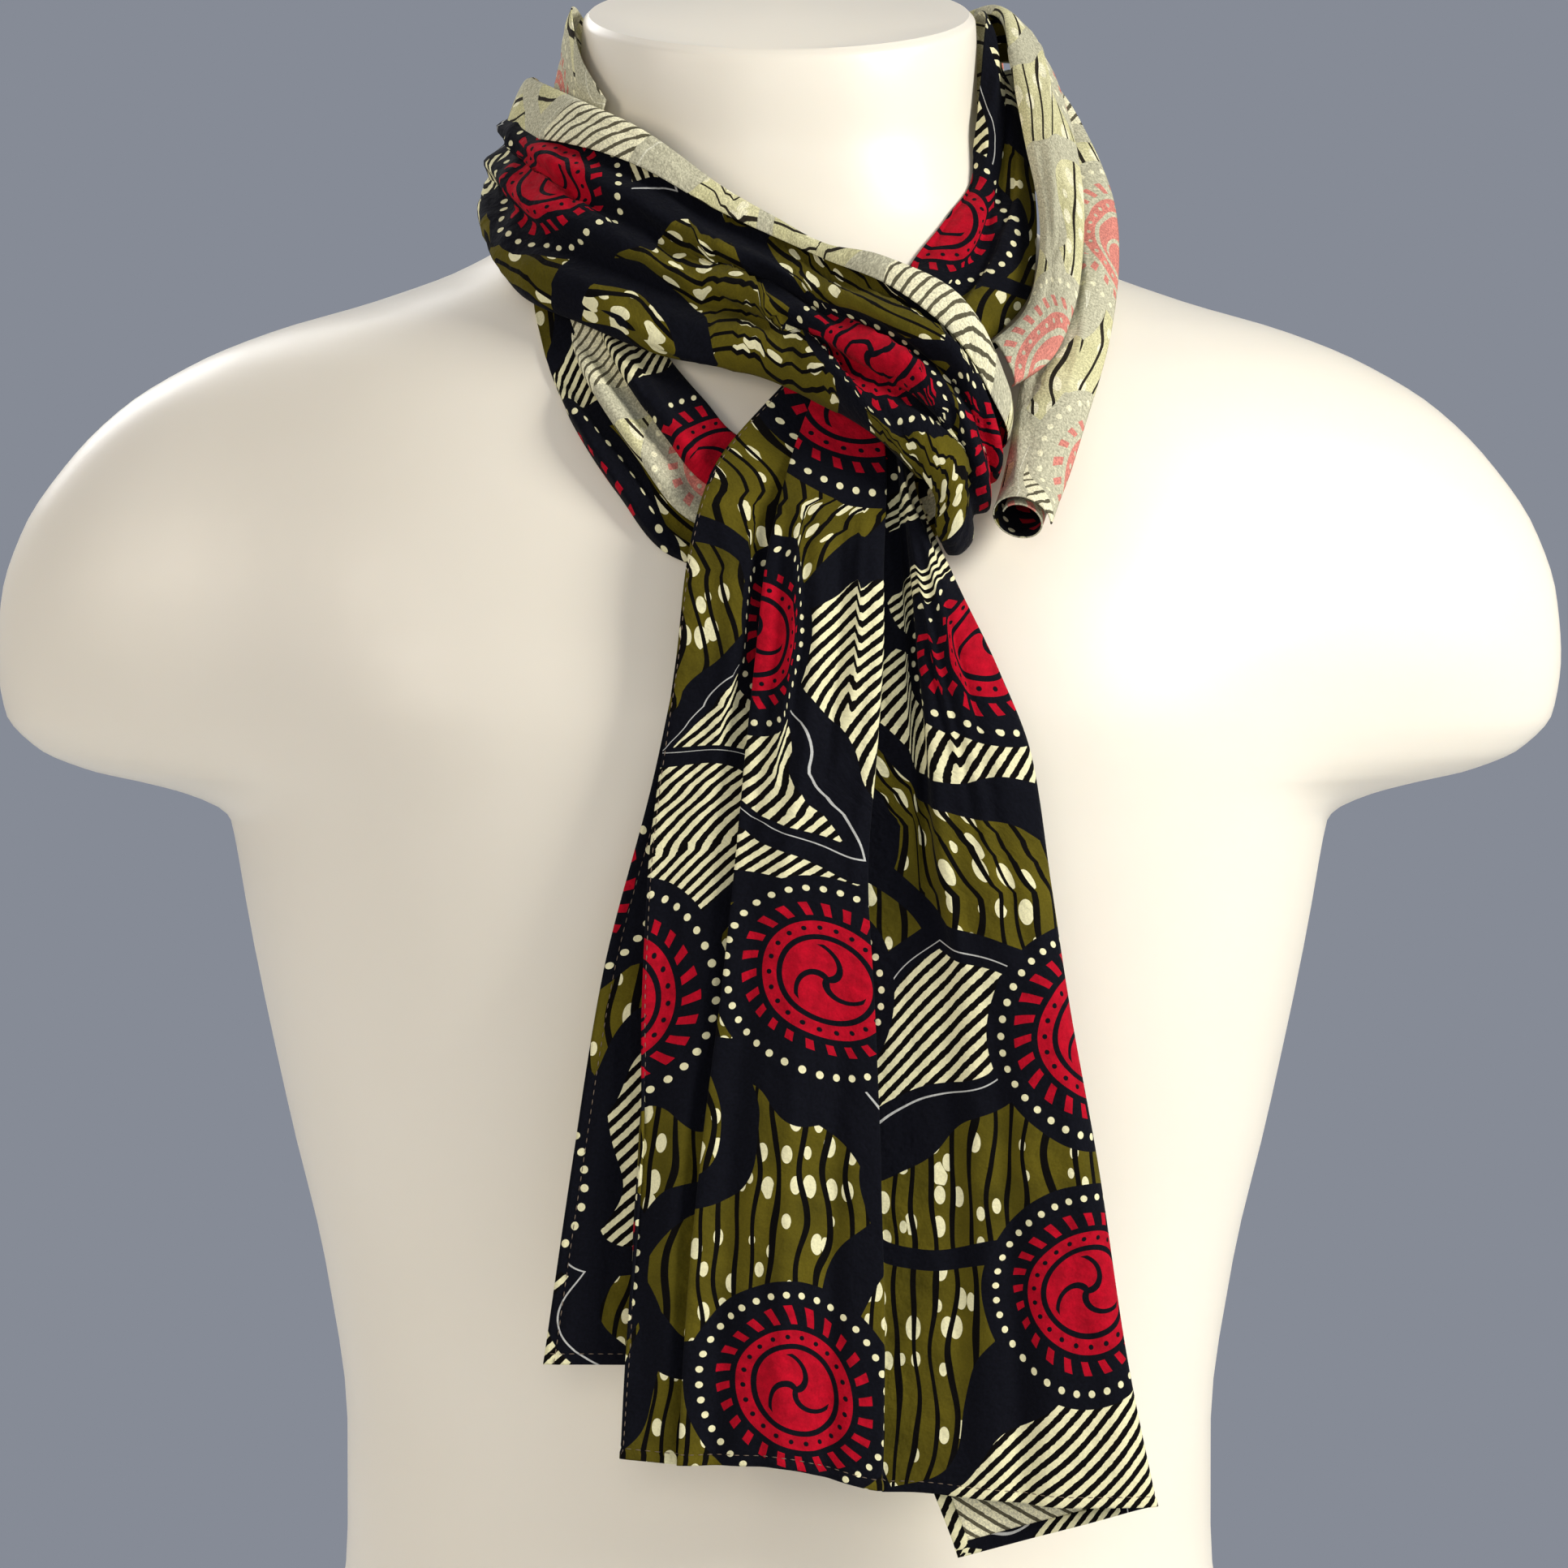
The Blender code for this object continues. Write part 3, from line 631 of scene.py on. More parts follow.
def tucked(grid, at_end, part, under, down_to=(2, 3)):
    """Lays this part of the grid's rows, at one end, down on what lies under them.

    down_to limits that to the upper columns: it fades out between these two shares across.
    """
    under = np.concatenate([other.reshape(-1, 3) for other in (*under, round_the_neck())])
    rows, columns = grid.shape[:2]
    depth = round(part * rows)
    each = np.arange(columns)
    gap = np.interp(np.linspace(0, 1, columns), TUCK_SHARES, TUCK_GAPS)
    grid = grid.copy()
    for step in range(depth):
        row = rows - 1 - step if at_end else step
        apart = grid[row][:, None] - under[None]
        far = np.linalg.norm(apart, axis=2)
        nearest = far.argmin(axis=1)
        far = far[each, nearest]
        away = apart[each, nearest] / np.maximum(far, 0.1)[:, None]
        snug = under[nearest] + away * gap[:, None]
        pull = (1 - step / depth) ** 1.2 * np.clip((TUCK_REACH - far) / TUCK_FADE, 0, 1)
        pull *= np.interp(each / columns, down_to, (1, 0))
        grid[row] += pull[:, None] * (snug - grid[row])
        for _ in range(SMOOTHED_ACROSS):
            grid[row][1:-1] += 0.25 * (grid[row][2:] - 2 * grid[row][1:-1] + grid[row][:-2])
    laid = np.clip(1 - np.arange(rows) / depth, 0, 1) ** 0.5
    laid = (laid[::-1] if at_end else laid)[1:-1, None, None]
    for _ in range(SMOOTHED_ALONG):
        grid[1:-1] += 0.25 * laid * (grid[2:] - 2 * grid[1:-1] + grid[:-2])
    return grid


def facing(grid, outward):
    """The grid with its columns in the order that makes its faces point outward."""
    ahead = np.gradient(grid, axis=0)
    aside = np.gradient(grid, axis=1)
    looks = np.cross(aside, ahead)
    return grid[:, ::-1] if (looks * outward).sum() < 0 else grid


def normals(grid):
    """Which way the cloth faces at each point of the grid."""
    looks = np.cross(np.gradient(grid, axis=1), np.gradient(grid, axis=0))
    return looks / np.maximum(np.linalg.norm(looks, axis=2), 1e-9)[..., None]


def flattened(grid):
    """Where each point lies on the flat cloth: along it, and across it from its middle column."""
    across = run_along(grid)
    middle = grid.shape[1] // 2
    along = np.repeat(run_along(grid[:, middle])[:, None], grid.shape[1], axis=1)
    return np.stack([across[:, middle:middle + 1] - across, along], axis=2)


def at_share(values, along, across):
    """The grid's value at these shares of its length and width."""
    rows, columns = values.shape[:2]
    return values[round(along * (rows - 1)), round(across * (columns - 1))]


def to_line(flat, ends):
    """Each flat point's share along the line, and its distance to the line's left."""
    start, end = ends
    span = end - start
    share = np.clip(((flat - start) @ span) / (span @ span), 0, 1)
    off = flat - start - share[..., None] * span
    left = np.sign(span[0] * off[..., 1] - span[1] * off[..., 0])
    return share, np.linalg.norm(off, axis=2) * left


def creased(grid, name, turned):
    """Raises the stretch's creases and fold edges, each with soft ends, off the grid.

    Also says how much of the flat cloth the fold edges hide before each point.
    """
    flat = flattened(grid)
    rise = np.zeros(grid.shape[:2])
    hidden = np.zeros(grid.shape[:2])

    def ends(row):
        return [at_share(flat, a, 1 - c if turned else c) for a, c in (row[:2], row[2:4])]

    def soft(share, row):
        """Fades out at both ends of a line, or at its start only where it runs on to the hem."""
        return np.sin(np.pi * share * (0.6 if row[2] == 1 else 1)) ** 0.5

    for row in CREASES.get(name, ()):
        half_width, height = row[4:]
        share, off = to_line(flat, ends(row))
        rise += height * np.exp(-((off / half_width) ** 2)) * soft(share, row)
    for row in FOLD_EDGES.get(name, ()):
        sharp, long, height, way = row[4:]
        share, off = to_line(flat, ends(row))
        off = off * (way if turned else -way)
        slope = np.where(off > 0, np.exp(-np.abs(off) / long), np.exp(-((off / sharp) ** 2)))
        rise += height * slope * soft(share, row)
        hidden += HIDDEN_PRINT * height * soft(share, row) / (1 + np.exp(4 * off))
    return grid + rise[..., None] * normals(grid), hidden


def hemmed(grid, sides):
    """Raises the doubled cloth along these sides a little and draws it in at the row of stitches."""
    rise = np.zeros(grid.shape[:2])
    for side in sides:
        inset = run_along(edge_lines(grid, side))
        relief = HEM_RELIEF / (1 + np.exp((inset - HEM_TURNING) * 3))
        relief -= HEM_GROOVE * np.exp(-(((inset - STITCH_INSET) / HEM_GROOVE_HALF) ** 2))
        edge_lines(rise, side)[...] += relief
    return grid + rise[..., None] * normals(grid)


def edge_lines(values, side):
    """Lines that start at one side of a grid and run in from it."""
    if side == "end":
        return values[::-1].swapaxes(0, 1)
    return values[:, ::-1] if side == "last" else values


def edge_band(grid, side, depths):
    """Points, normals and flat places at these distances in from a side of the grid."""
    values = np.concatenate([grid, normals(grid), flattened(grid)], axis=2)
    band = []
    for line in edge_lines(values, side):
        run = run_along(line[:, :3])
        band.append([[np.interp(d, run, line[:, k]) for k in range(8)] for d in depths])
    band = np.array(band)
    return band[..., :3], band[..., 3:6], band[..., 6:]


def shade_smooth(mesh):
    mesh.polygons.foreach_set("use_smooth", np.ones(len(mesh.polygons), bool))


def add_mesh(name, shape):
    mesh = bpy.data.meshes.new(name)
    shape.to_mesh(mesh)
    shape.free()
    obj = bpy.data.objects.new(name, mesh)
    bpy.context.scene.collection.objects.link(obj)
    return obj


def add_shell(name, grid, flat, shell, materials):
    """One sheet of cloth: a flat grid moved onto its points, with its place on the flat cloth as UVs."""
    along, across = grid.shape[:2]
    sheet = bmesh.new()
    bmesh.ops.create_grid(sheet, x_segments=across - 1, y_segments=along - 1, size=0.5)
    obj = add_mesh(name, sheet)
    mesh = obj.data
    place = np.empty(len(mesh.vertices) * 3)
    mesh.vertices.foreach_get("co", place)
    place = place.reshape(-1, 3)
    column = np.rint((place[:, 0] + 0.5) * (across - 1)).astype(int)
    row = np.rint((place[:, 1] + 0.5) * (along - 1)).astype(int)
    mesh.vertices.foreach_set("co", (grid[row, column] * MM).ravel())
    corner = np.empty(len(mesh.loops), int)
    mesh.loops.foreach_get("vertex_index", corner)
    for old in list(mesh.uv_layers):
        mesh.uv_layers.remove(old)
    cloth = mesh.uv_layers.new(name="cloth")
    cloth.data.foreach_set("uv", (flat[row[corner], column[corner]] * MM).ravel())
    shade_smooth(mesh)
    for material in materials:
        mesh.materials.append(material)
    wall = obj.modifiers.new("wall", "SOLIDIFY")
    wall.thickness = shell * MM
    wall.offset = 0
    wall.use_even_offset = False
    wall.material_offset = len(materials) - 1
    wall.material_offset_rim = 0
    return obj


def add_stretch(name, grid, outward, hems=()):
    """One stretch of the scarf with its creases, hem turnings and stitches."""
    materials, cut, layout = STRETCHES[name]
    turned = facing(grid, outward) is not grid
    grid = facing(grid, outward)
    grid, hidden = creased(grid, name, turned)
    other = {"first": "last", "last": "first"} if turned else {}
    sides = [other.get(side, side) for side in hems]
    grid = hemmed(grid, sides)
    grid = off_the_form(grid.reshape(-1, 3), CLOTH_SHELL / 2 + SEAT_GAP).reshape(grid.shape)
    flat = flattened(grid) + layout
    flat[..., 0] += hidden
    cloth = add_shell(name + "_cloth", grid, flat, CLOTH_SHELL, materials)
    if name in OTHER_SIDE:
        show_other_side(cloth.data, grid, OTHER_SIDE[name], turned)
    trims = []
    for side in sides:
        trims += add_hem(f"{name}_{side}", grid, side, layout, materials[0])
    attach(cloth, "root")
    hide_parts(name)


def show_other_side(mesh, grid, strip, turned):
    """Turns the cloth's sides round on the faces of one strip."""
    mesh.materials.append(mesh.materials[0])
    low, high = (1 - strip[1], 1 - strip[0]) if turned else strip
    columns = grid.shape[1] - 1
    for face in mesh.polygons:
        across = (face.index % columns + 0.5) / columns
        face.material_index = int(low < across < high)


def add_hem(name, grid, side, layout, material):
    """The hem's turning on the inner side of the cloth, and its row of stitches on the outer side."""
    depths = (0.0, 0.5, HEM_TURNING * 0.5, HEM_TURNING - 0.4, HEM_TURNING)
    points, looks, flat = edge_band(grid, side, depths)
    behind = np.array((0.30, 0.62, 0.66, 0.62, 0.34))[:, None]
    points = points - looks * behind
    mirrored = 2 * flat[:, :1] - flat + layout
    order = facing(points, -looks)
    mirrored = mirrored[:, ::-1] if order is not points else mirrored
    turning = add_shell(name + "_turning", order, mirrored, TURNING_SHELL, [material])
    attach(turning, "root")
    points, looks, _ = edge_band(grid, side, (STITCH_INSET,))
    line = points[:, 0] + looks[:, 0] * (CLOTH_SHELL / 2 + THREAD_SEAT)
    return [turning, add_stitches(name + "_stitches", line, looks[:, 0])]


def add_stitches(name, line, looks):
    """A row of sewn stitches: short spindles of thread laid on the line."""
    run = run_along(line)

    def at(distance, values):
        return np.array([np.interp(distance, run, values[:, k]) for k in range(3)])

    shape = bmesh.new()
    for start in np.arange(STITCH_PITCH * 0.5, run[-1] - STITCH_LENGTH, STITCH_PITCH):
        here, there, up = at(start, line), at(start + STITCH_LENGTH, line), at(start, looks)
        ahead = (there - here) / np.linalg.norm(there - here)
        aside = np.cross(up, ahead)
        aside /= np.linalg.norm(aside)
        made = bmesh.ops.create_icosphere(shape, subdivisions=1, radius=0.5)
        for vert in made["verts"]:
            x, y, z = vert.co
            thick = aside * y * THREAD + up * z * THREAD
            vert.co = ((here + there) / 2 + ahead * x * STITCH_LENGTH + thick) * MM
    row = add_mesh(name, shape)
    row.data.materials.append(SEWING_THREAD)
    shade_smooth(row.data)
    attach(row, "root")
    return row


def add_form():
    """The torso form: a closed drum with a loop of edges for each level, moved onto the rings."""
    table = np.array(FORM_RINGS, float)
    levels = np.interp(np.linspace(0, len(table) - 1, FORM_LEVELS), np.arange(len(table)), table[:, 0])
    drum = bmesh.new()
    bmesh.ops.create_cone(drum, cap_ends=True, segments=FORM_SIDES, radius1=1, radius2=1, depth=1)
    uprights = [e for e in drum.edges if abs(e.verts[0].co.z - e.verts[1].co.z) > 0.5]
    bmesh.ops.subdivide_edges(drum, edges=uprights, cuts=FORM_LEVELS - 2, use_grid_fill=True)
    for vert in drum.verts:
        z = levels[round((vert.co.z + 0.5) * (FORM_LEVELS - 1))]
        width, front, back, square, stump_width, stump_depth = form_ring([z])[:, 0]
        deep = front if vert.co.y < 0 else back
        place = np.array([[vert.co.x * max(width, stump_width), vert.co.y * deep, z]])
        x, y = (place / form_reach(place))[0, :2]
        slant = CAP_SLANT * min(max((z - CAP_SLANT_FROM) / CAP_SLANT_RISE, 0), 1)
        vert.co = (x * MM, y * MM, (z + y * slant) * MM)
    form = add_mesh("torso_form_shell", drum)
    shade_smooth(form.data)
    form.data.set_sharp_from_angle(angle=math.radians(40))
    form.data.materials.append(MOULDED_PLASTIC)
    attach(form, "root")
    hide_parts("torso_form")


def linear(colour):
    """An sRGB hex colour as linear RGBA."""
    parts = [int(colour[i:i + 2], 16) / 255 for i in (1, 3, 5)]
    return (*(p / 12.92 if p <= 0.04045 else ((p + 0.055) / 1.055) ** 2.4 for p in parts), 1)


def new_material(name):
    """A new material, with its node tree and its shader."""
    material = bpy.data.materials.new(name)
    material.use_nodes = True
    return material, material.node_tree, material.node_tree.nodes["Principled BSDF"]


def node(tree, kind, inputs=(), **settings):
    """Adds a node with its settings; an input takes a link from a socket, or a value."""
    made = tree.nodes.new("ShaderNode" + kind)
    for name, value in settings.items():
        setattr(made, name, value)
    for name, value in dict(inputs).items():
        if isinstance(value, bpy.types.NodeSocket):
            tree.links.new(value, made.inputs[name])
        else:
            made.inputs[name].default_value = value
    return made


def maths(tree, operation, *values):
    return node(tree, "Math", enumerate(values), operation=operation).outputs[0]


def below(tree, value, high):
    return maths(tree, "LESS_THAN", value, high)


def above(tree, value, low):
    return maths(tree, "GREATER_THAN", value, low)


def product(tree, first, second):
    """The two multiplied; of two tests, that is 1 where both hold, else 0."""
    return maths(tree, "MULTIPLY", first, second)


def between(tree, value, low, high):
    """1 where the value lies between low and high, else 0."""
    return product(tree, above(tree, value, low), below(tree, value, high))


def scaled(tree, vector, scale):
    return node(tree, "VectorMath", {0: vector, 3: scale}, operation="SCALE").outputs[0]


def mixed(tree, share, first, second):
    mix = node(tree, "Mix", {0: share, 6: first, 7: second}, data_type="RGBA")
    return mix.outputs[2]


def noise(tree, vector, scale, detail=2.0, roughness=0.5):
    inputs = {"Vector": vector, "Scale": scale, "Detail": detail, "Roughness": roughness}
    return node(tree, "TexNoise", inputs, noise_dimensions="2D")


def cells(tree, vector, randomness=1.0, feature="F1"):
    """A pattern of cells, each one unit across."""
    inputs = {"Vector": vector, "Scale": 1.0, "Randomness": randomness}
    return node(tree, "TexVoronoi", inputs, voronoi_dimensions="2D", feature=feature)


def spread(tree, vector, across, along):
    """The vector with each direction divided by its own size."""
    scale = (1 / across, 1 / along, 1)
    return node(tree, "Mapping", {"Vector": vector, "Scale": scale}).outputs[0]


# Columns: on the printed side, on the paler reverse
DYES = {
    "band": ("#07080d", "#9d9a83"),
    "band_worn": ("#10111a", "#e5e0c0"),
    "olive": ("#3c370c", "#c0bb88"),
    "olive_light": ("#685d16", "#ebe5b8"),
    "line": ("#080605", "#2e2921"),
    "stripe_dark": ("#0a0706", "#625d49"),
    "cream": ("#e6e0b4", "#f3edc8"),
    "red": ("#c60b26", "#e59080"),
    "red_deep": ("#8c081b", "#c77f72"),
    "hairline": ("#b9b9b4", "#e2dfc6"),
}

# The print's sizes, in millimetres of cloth. A cell is one repeat's size across and along the cloth.
STRIPE_PITCH = 3.6
LINE_PITCH = 6.6
LINE_WANDER = 14.0
WANDER_CELL = (24.0, 46.0)
PEBBLE_CELL = (6.2, 10.5)
PANEL_CELL = (72.0, 58.0)
THREAD_PITCH = 0.45
# Shares of a panel: the dark band's half width, and where a pale hairline runs in it
BAND_EDGE = 0.100
HAIRLINE = (0.045, 0.053)
# A rosette from its centre outwards: veins in a red eye, a beaded ring, rays and a ring of dots
ROSETTE_PITCH = 104.0
VEIN_REACH = 11.6
VEIN_HALF_WIDTH = 1.15
EYE = 13.2
BEADED_RING = (15.0, 19.6)
RAYS_FROM = 21.6
RAYS_SHORTEST = 21.5
ROSETTE = 35.5
# Columns: ring, number of dots, a dot's radius
BEADS = (17.3, 22, 0.8)
OUTER_DOTS = (31.0, 38, 1.1)


def printed_cotton(name, side, dark_line, mottle, roughness):
    """Plain-woven cotton with a generic wax-style print: panels of stripes and of waved lines with
    pebbles between dark bands, and rosettes in dotted rings."""
    material, tree, shader = new_material(name)
    colour = {key: linear(sides[side]) for key, sides in DYES.items()}

    cloth = node(tree, "UVMap", uv_map="cloth").outputs[0]
    flat = scaled(tree, cloth, 1 / MM)
    drift = noise(tree, flat, 0.013, 1.0).outputs["Color"]
    drift = node(tree, "VectorMath", {0: drift, 1: (0.5, 0.5, 0.5)}, operation="SUBTRACT").outputs[0]

    def drifted(far):
        """The place on the flat cloth, moved by up to about a quarter of this distance."""
        move = scaled(tree, drift, far)
        return node(tree, "VectorMath", {0: flat, 1: move}, operation="ADD").outputs[0]

    bent, eased = drifted(72.0), drifted(12.0)
    where = node(tree, "SeparateXYZ", {0: drifted(11.0)})
    across, along = where.outputs[0], where.outputs[1]

    # Diagonal stripes with slightly frayed edges
    slant = maths(tree, "DIVIDE", maths(tree, "ADD", across, along), STRIPE_PITCH * math.sqrt(2))
    fringe = product(tree, noise(tree, flat, 0.6, 1.0).outputs[0], 0.12)
    phase = maths(tree, "FRACT", maths(tree, "ADD", slant, fringe))
    striped = mixed(
        tree, below(tree, phase, 1 - 1.9 * dark_line), colour["stripe_dark"], colour["cream"]
    )

    # Waved dark lines on olive, with cream pebbles
    wander = noise(tree, spread(tree, flat, *WANDER_CELL), 1.0, 1.0).outputs[0]
    wavy = maths(tree, "DIVIDE", maths(tree, "MULTIPLY_ADD", wander, LINE_WANDER, across), LINE_PITCH)
    line = between(tree, maths(tree, "FRACT", wavy), 0.5 - dark_line / 2, 0.5 + dark_line / 2)
    patch = noise(tree, flat, 0.05, 3.0).outputs[0]
    olive = mixed(tree, patch, colour["olive"], colour["olive_light"])
    pebble = cells(tree, spread(tree, flat, *PEBBLE_CELL), 0.9)
    pick = node(tree, "SeparateColor", {0: pebble.outputs["Color"]})
    size = maths(tree, "MULTIPLY_ADD", pick.outputs[2], 0.24, 0.16)
    pebbled = product(
        tree, below(tree, pebble.outputs["Distance"], size), above(tree, pick.outputs[1], 0.45)
    )
    olive = mixed(tree, pebbled, olive, colour["cream"])
    olive = mixed(tree, line, olive, colour["line"])

    # Panels with dark bands between them, and a pale hairline in some bands
    panel_place = spread(tree, bent, *PANEL_CELL)
    panel = cells(tree, panel_place)
    edge = cells(tree, panel_place, feature="DISTANCE_TO_EDGE").outputs["Distance"]
    kind = node(tree, "SeparateColor", {0: panel.outputs["Color"]}).outputs[0]
    filled = mixed(tree, above(tree, kind, 0.5), olive, striped)
    wear = noise(tree, flat, 0.9, 3.0).outputs[0]
    band = mixed(tree, wear, colour["band"], colour["band_worn"])
    ink = mixed(tree, above(tree, edge, BAND_EDGE), band, filled)
    hair = product(tree, between(tree, edge, *HAIRLINE), above(tree, kind, 0.72))
    ink = mixed(tree, hair, ink, colour["hairline"])

    # Rosettes, each a little larger or smaller than the next
    rosette = cells(tree, spread(tree, eased, ROSETTE_PITCH, ROSETTE_PITCH), 0.5)
    centre = scaled(tree, rosette.outputs["Position"], ROSETTE_PITCH)
    local = node(tree, "VectorMath", {0: eased, 1: centre}, operation="SUBTRACT").outputs[0]
    arm = node(tree, "SeparateXYZ", {0: local})
    own = node(tree, "SeparateColor", {0: rosette.outputs["Color"]}).outputs[0]
    own_size = maths(tree, "MULTIPLY_ADD", own, -0.26, 1.12)
    distance = product(tree, rosette.outputs["Distance"], ROSETTE_PITCH)
    radius = product(tree, distance, own_size)
    angle = maths(tree, "DIVIDE", maths(tree, "ARCTAN2", arm.outputs[1], arm.outputs[0]), 2 * math.pi)

    def spokes(count, swirl=0.0):
        """How far round the point stands from the nearest spoke, as a share of the spokes' pitch."""
        turned = maths(tree, "MULTIPLY_ADD", radius, swirl, angle)
        turn = maths(tree, "FRACT", maths(tree, "MULTIPLY_ADD", turned, float(count), 0.5))
        return maths(tree, "ABSOLUTE", maths(tree, "SUBTRACT", turn, 0.5))

    def dots(ring, count, dot):
        """Round dots on a ring."""
        round_way = product(tree, spokes(count), 2 * math.pi * ring / count)
        out_way = maths(tree, "SUBTRACT", radius, ring)
        squares = [maths(tree, "POWER", way, 2.0) for way in (round_way, out_way)]
        return below(tree, maths(tree, "SQRT", maths(tree, "ADD", *squares)), dot)

    red = mixed(tree, noise(tree, flat, 0.25, 2.0).outputs[0], colour["red_deep"], colour["red"])
    ray_length = noise(tree, eased, 0.02, 1.0).outputs[0]
    ray_end = maths(tree, "MULTIPLY_ADD", ray_length, 9.0, RAYS_SHORTEST)
    rays = product(tree, between(tree, radius, RAYS_FROM, ray_end), below(tree, spokes(24, 0.002), 0.2))
    vein = product(tree, spokes(3, 0.024), product(tree, radius, 2 * math.pi / 3))
    veined = product(tree, below(tree, vein, VEIN_HALF_WIDTH), below(tree, radius, VEIN_REACH))
    for place, dye in (
        (below(tree, radius, ROSETTE), band),
        (dots(*OUTER_DOTS), colour["cream"]),
        (rays, red),
        (between(tree, radius, *BEADED_RING), red),
        (dots(*BEADS), band),
        (below(tree, radius, EYE), red),
        (veined, band),
    ):
        ink = mixed(tree, place, ink, dye)

    # Mottled grain of the cotton, stronger on the reverse
    grain = noise(tree, flat, 1.4, 4.0, 0.7).outputs[0]
    grain = node(tree, "MapRange", {0: grain, 1: 0.35, 2: 0.65, 3: 1.0 - mottle, 4: 1.0 + mottle * 0.35})
    tree.links.new(scaled(tree, ink, grain.outputs[0]), shader.inputs["Base Color"])

    # The weave, and the soft unevenness of worn cotton
    flat_place = node(tree, "SeparateXYZ", {0: flat})
    warp, weft = (
        maths(tree, "SINE", product(tree, flat_place.outputs[way], 2 * math.pi / THREAD_PITCH))
        for way in (0, 1)
    )
    weave = product(tree, product(tree, warp, weft), 0.02)
    crumple = product(tree, noise(tree, flat, 0.11, 4.0, 0.55).outputs[0], 1.5)
    height = maths(tree, "ADD", weave, crumple)
    bump = node(tree, "Bump", {"Height": height, "Strength": 1.0, "Distance": MM})
    tree.links.new(bump.outputs[0], shader.inputs["Normal"])
    shader.inputs["Roughness"].default_value = roughness
    shader.inputs["Sheen Weight"].default_value = 0.02
    shader.inputs["Sheen Roughness"].default_value = 0.5
    shader.inputs["Specular IOR Level"].default_value = 0.06
    return material


def moulded_plastic():
    """Off-white moulded plastic: a satin gloss with faint waviness, so its highlights run soft."""
    material, tree, shader = new_material("off_white_moulded_plastic")
    place = node(tree, "TexCoord").outputs["Object"]
    tint = node(tree, "TexNoise", {"Vector": place, "Scale": 9.0, "Detail": 3.0}).outputs[0]
    tree.links.new(mixed(tree, tint, linear("#e9e1cf"), linear("#f0e9da")), shader.inputs["Base Color"])
    ripple = node(tree, "TexNoise", {"Vector": place, "Scale": 60.0, "Detail": 2.0}).outputs[0]
    bump = node(tree, "Bump", {"Height": ripple, "Strength": 0.12, "Distance": MM})
    tree.links.new(bump.outputs[0], shader.inputs["Normal"])
    handled = node(tree, "TexNoise", {"Vector": place, "Scale": 24.0, "Detail": 4.0}).outputs[0]
    gloss = node(tree, "MapRange", {0: handled, 1: 0.3, 2: 0.7, 3: 0.36, 4: 0.44})
    tree.links.new(gloss.outputs[0], shader.inputs["Roughness"])
    shader.inputs["Subsurface Weight"].default_value = 0.08
    shader.inputs["Subsurface Radius"].default_value = (0.004, 0.003, 0.002)
    return material


def sewing_thread():
    """Brown sewing thread, its twist lighter and darker."""
    material, tree, shader = new_material("brown_sewing_thread")
    place = node(tree, "TexCoord").outputs["Object"]
    twist = node(tree, "TexNoise", {"Vector": place, "Scale": 2500.0}).outputs[0]
    tree.links.new(mixed(tree, twist, linear("#54463a"), linear("#84715c")), shader.inputs["Base Color"])
    shader.inputs["Roughness"].default_value = 0.6
    return material


COTTON_FACE = printed_cotton("printed_cotton_face", side=0, dark_line=0.26, mottle=0.12, roughness=0.86)
COTTON_REVERSE = printed_cotton(
    "printed_cotton_reverse", side=1, dark_line=0.17, mottle=0.36, roughness=0.92
)
MOULDED_PLASTIC = moulded_plastic()
SEWING_THREAD = sewing_thread()
FACE_OUT = [COTTON_FACE, COTTON_REVERSE]
REVERSE_OUT = [COTTON_REVERSE, COTTON_FACE]
REVERSE_BOTH = [COTTON_REVERSE, COTTON_REVERSE]

# Columns: the cloth's two sides, its flat width and length in metres,
# and where the middle of its start lies on the print, in millimetres across and along
STRETCHES = {
    "collar_back": (REVERSE_BOTH, (0.105, 0.22), (40, 610)),
    "collar_left_inner": (REVERSE_BOTH, (0.025, 0.085), (20, 480)),
    "loop_upper": (FACE_OUT, (0.1, 0.285), (30, 150)),
    "loop_lower": (FACE_OUT, (0.055, 0.205), (95, 330)),
    "collar_right_inner": (FACE_OUT, (0.035, 0.2), (150, 505)),
    "collar_right_roll": (REVERSE_OUT, (0.03, 0.215), (210, 560)),
    "collar_right_outer": (REVERSE_OUT, (0.085, 0.26), (265, 700)),
    "tail_front": (FACE_OUT, (0.235, 0.365), (60, 20)),
    "tail_back": (FACE_OUT, (0.085, 0.32), (330, 60)),
}


def add_collar():
    """The strands round the neck. The ends of two of them are laid down on what lies under them."""
    inner = strand(COLLAR_RIGHT_INNER, WAVED, sections=110, per_fold=PER_FOLD * 2)
    roll = strand(COLLAR_RIGHT_ROLL, ROLLED, sections=120)
    outer = rolled_tube(COLLAR_RIGHT_OUTER, sections=130, points=97)
    left = strand(COLLAR_LEFT_INNER, WAVED, sections=48)
    lower = strand(LOOP_LOWER, STEPPED, sections=130)
    back = strand(COLLAR_BACK, PLEATED, sections=110)
    back = tucked(back, at_end=True, part=0.34, under=(inner, roll, outer))
    back = tucked(back, at_end=False, part=0.42, under=(left,), down_to=(0.34, 0.62))
    loop = strand(LOOP_UPPER, PLEATED, sections=170)
    loop = tucked(loop, at_end=False, part=0.15, under=(back,))
    for name, grid in (
        ("collar_back", back), ("collar_left_inner", left), ("loop_upper", loop), ("loop_lower", lower),
        ("collar_right_inner", inner), ("collar_right_roll", roll),
    ):
        add_stretch(name, grid, grid * (1, 1, 0))
    add_stretch("collar_right_outer", outer, outer - outer.mean(axis=1, keepdims=True))


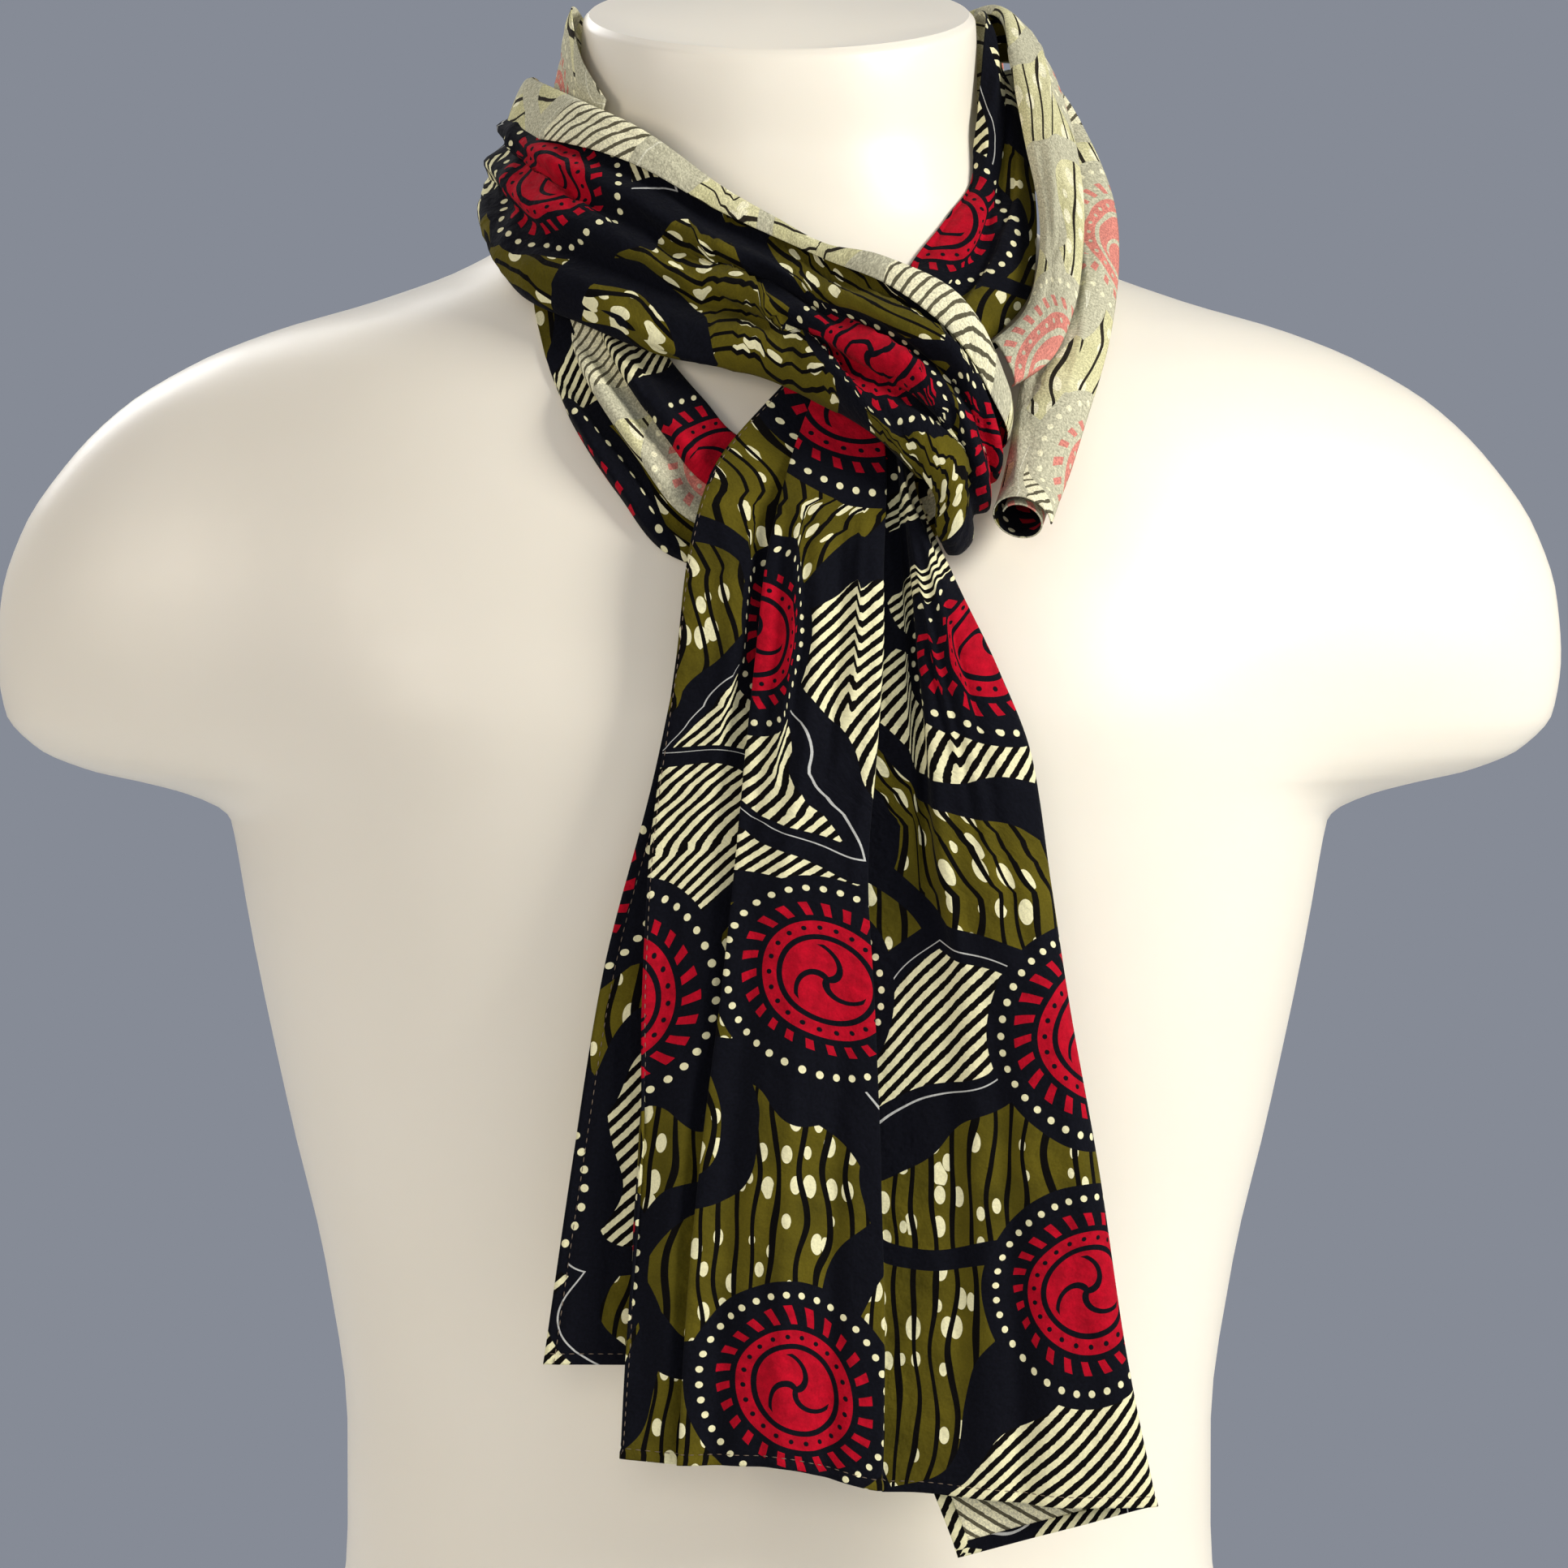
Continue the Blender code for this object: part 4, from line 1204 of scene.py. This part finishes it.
def add_tails():
    towards_front = np.array((0, -1, 0))
    depths = np.array(TAIL_DEPTHS, float)
    lines = np.array(TAIL_LINES, float)
    hems = np.array(list(TAIL_HEM_Z.values()), float)
    front = tail(lines, TAIL_TOP_Z, hems, depths, front_tail_folds, TAIL_COLUMNS)
    add_stretch("tail_front", front, towards_front, hems=("end", "first", "last"))
    depths[:, 1] += TAIL_BACK_BEHIND
    lines = np.array(TAIL_BACK_LINES, float)
    hems = np.full(lines.shape[1] - 1, TAIL_BACK_HEM_Z)
    back = tail(lines, TAIL_BACK_TOP_Z, hems, depths, back_tail_folds, PER_FOLD * 3)
    add_stretch("tail_back", back, towards_front, hems=("end", "first"))


# The studio, in metres
# Columns: name, place, height of its aim, width, height, watts, colour
LIGHTS = (
    ("key", (2.2, -1.3, 1.5), 0.45, 0.9, 0.9, 78, "#fffdf8"),
    ("fill", (-2.1, -1.5, 1.2), 0.42, 1.0, 1.0, 20, "#fff3e2"),
    ("front", (-0.3, -2.8, 0.9), 0.42, 1.0, 0.8, 9, "#fff8ee"),
    ("rim", (-1.2, 1.6, 1.7), 0.5, 1.0, 1.0, 24, "#ffffff"),
)
FLOOR_SIDE = 2.3
CAMERA_ELEVATION = math.radians(3)
CAMERA_AIM = (0.0016, -0.11, 0.42)
CAMERA_DISTANCE = 4.0
PICTURE_WIDTH = 0.50
SENSOR_WIDTH = 36


def add_floor():
    shape = bmesh.new()
    bmesh.ops.create_grid(shape, x_segments=1, y_segments=1, size=FLOOR_SIDE / 2)
    floor = add_mesh("floor", shape)
    paint, _, shader = new_material("pale_floor")
    shader.inputs["Base Color"].default_value = linear("#d9dadb")
    shader.inputs["Roughness"].default_value = 0.8
    floor.data.materials.append(paint)


def add_lights():
    for name, place, aim, wide, tall, watts, tint in LIGHTS:
        light = bpy.data.lights.new(name, "AREA")
        light.shape = "RECTANGLE"
        light.size = wide
        light.size_y = tall
        light.energy = watts
        light.color = linear(tint)[:3]
        lamp = bpy.data.objects.new(name, light)
        lamp.location = place
        lamp.rotation_euler = (Vector((0, 0, aim)) - lamp.location).to_track_quat("-Z", "Y").to_euler()
        bpy.context.scene.collection.objects.link(lamp)
    world = bpy.data.worlds.new("studio")
    world.use_nodes = True
    world.node_tree.nodes["Background"].inputs[0].default_value = linear("#868b96")
    world.node_tree.nodes["Background"].inputs[1].default_value = 1.0
    bpy.context.scene.world = world


def add_camera():
    scene = bpy.context.scene
    away = np.array((0, -math.cos(CAMERA_ELEVATION), math.sin(CAMERA_ELEVATION)))
    lens = bpy.data.cameras.new("camera")
    lens.sensor_width = SENSOR_WIDTH
    lens.lens = SENSOR_WIDTH * CAMERA_DISTANCE / PICTURE_WIDTH
    lens.clip_end = 20
    camera = bpy.data.objects.new("camera", lens)
    camera.location = CAMERA_AIM + CAMERA_DISTANCE * away
    camera.rotation_euler = (math.pi / 2 - CAMERA_ELEVATION, 0, 0)
    scene.collection.objects.link(camera)
    scene.camera = camera
    scene.view_settings.view_transform = "Standard"


add_form()
add_collar()
add_tails()
add_floor()
add_lights()
add_camera()
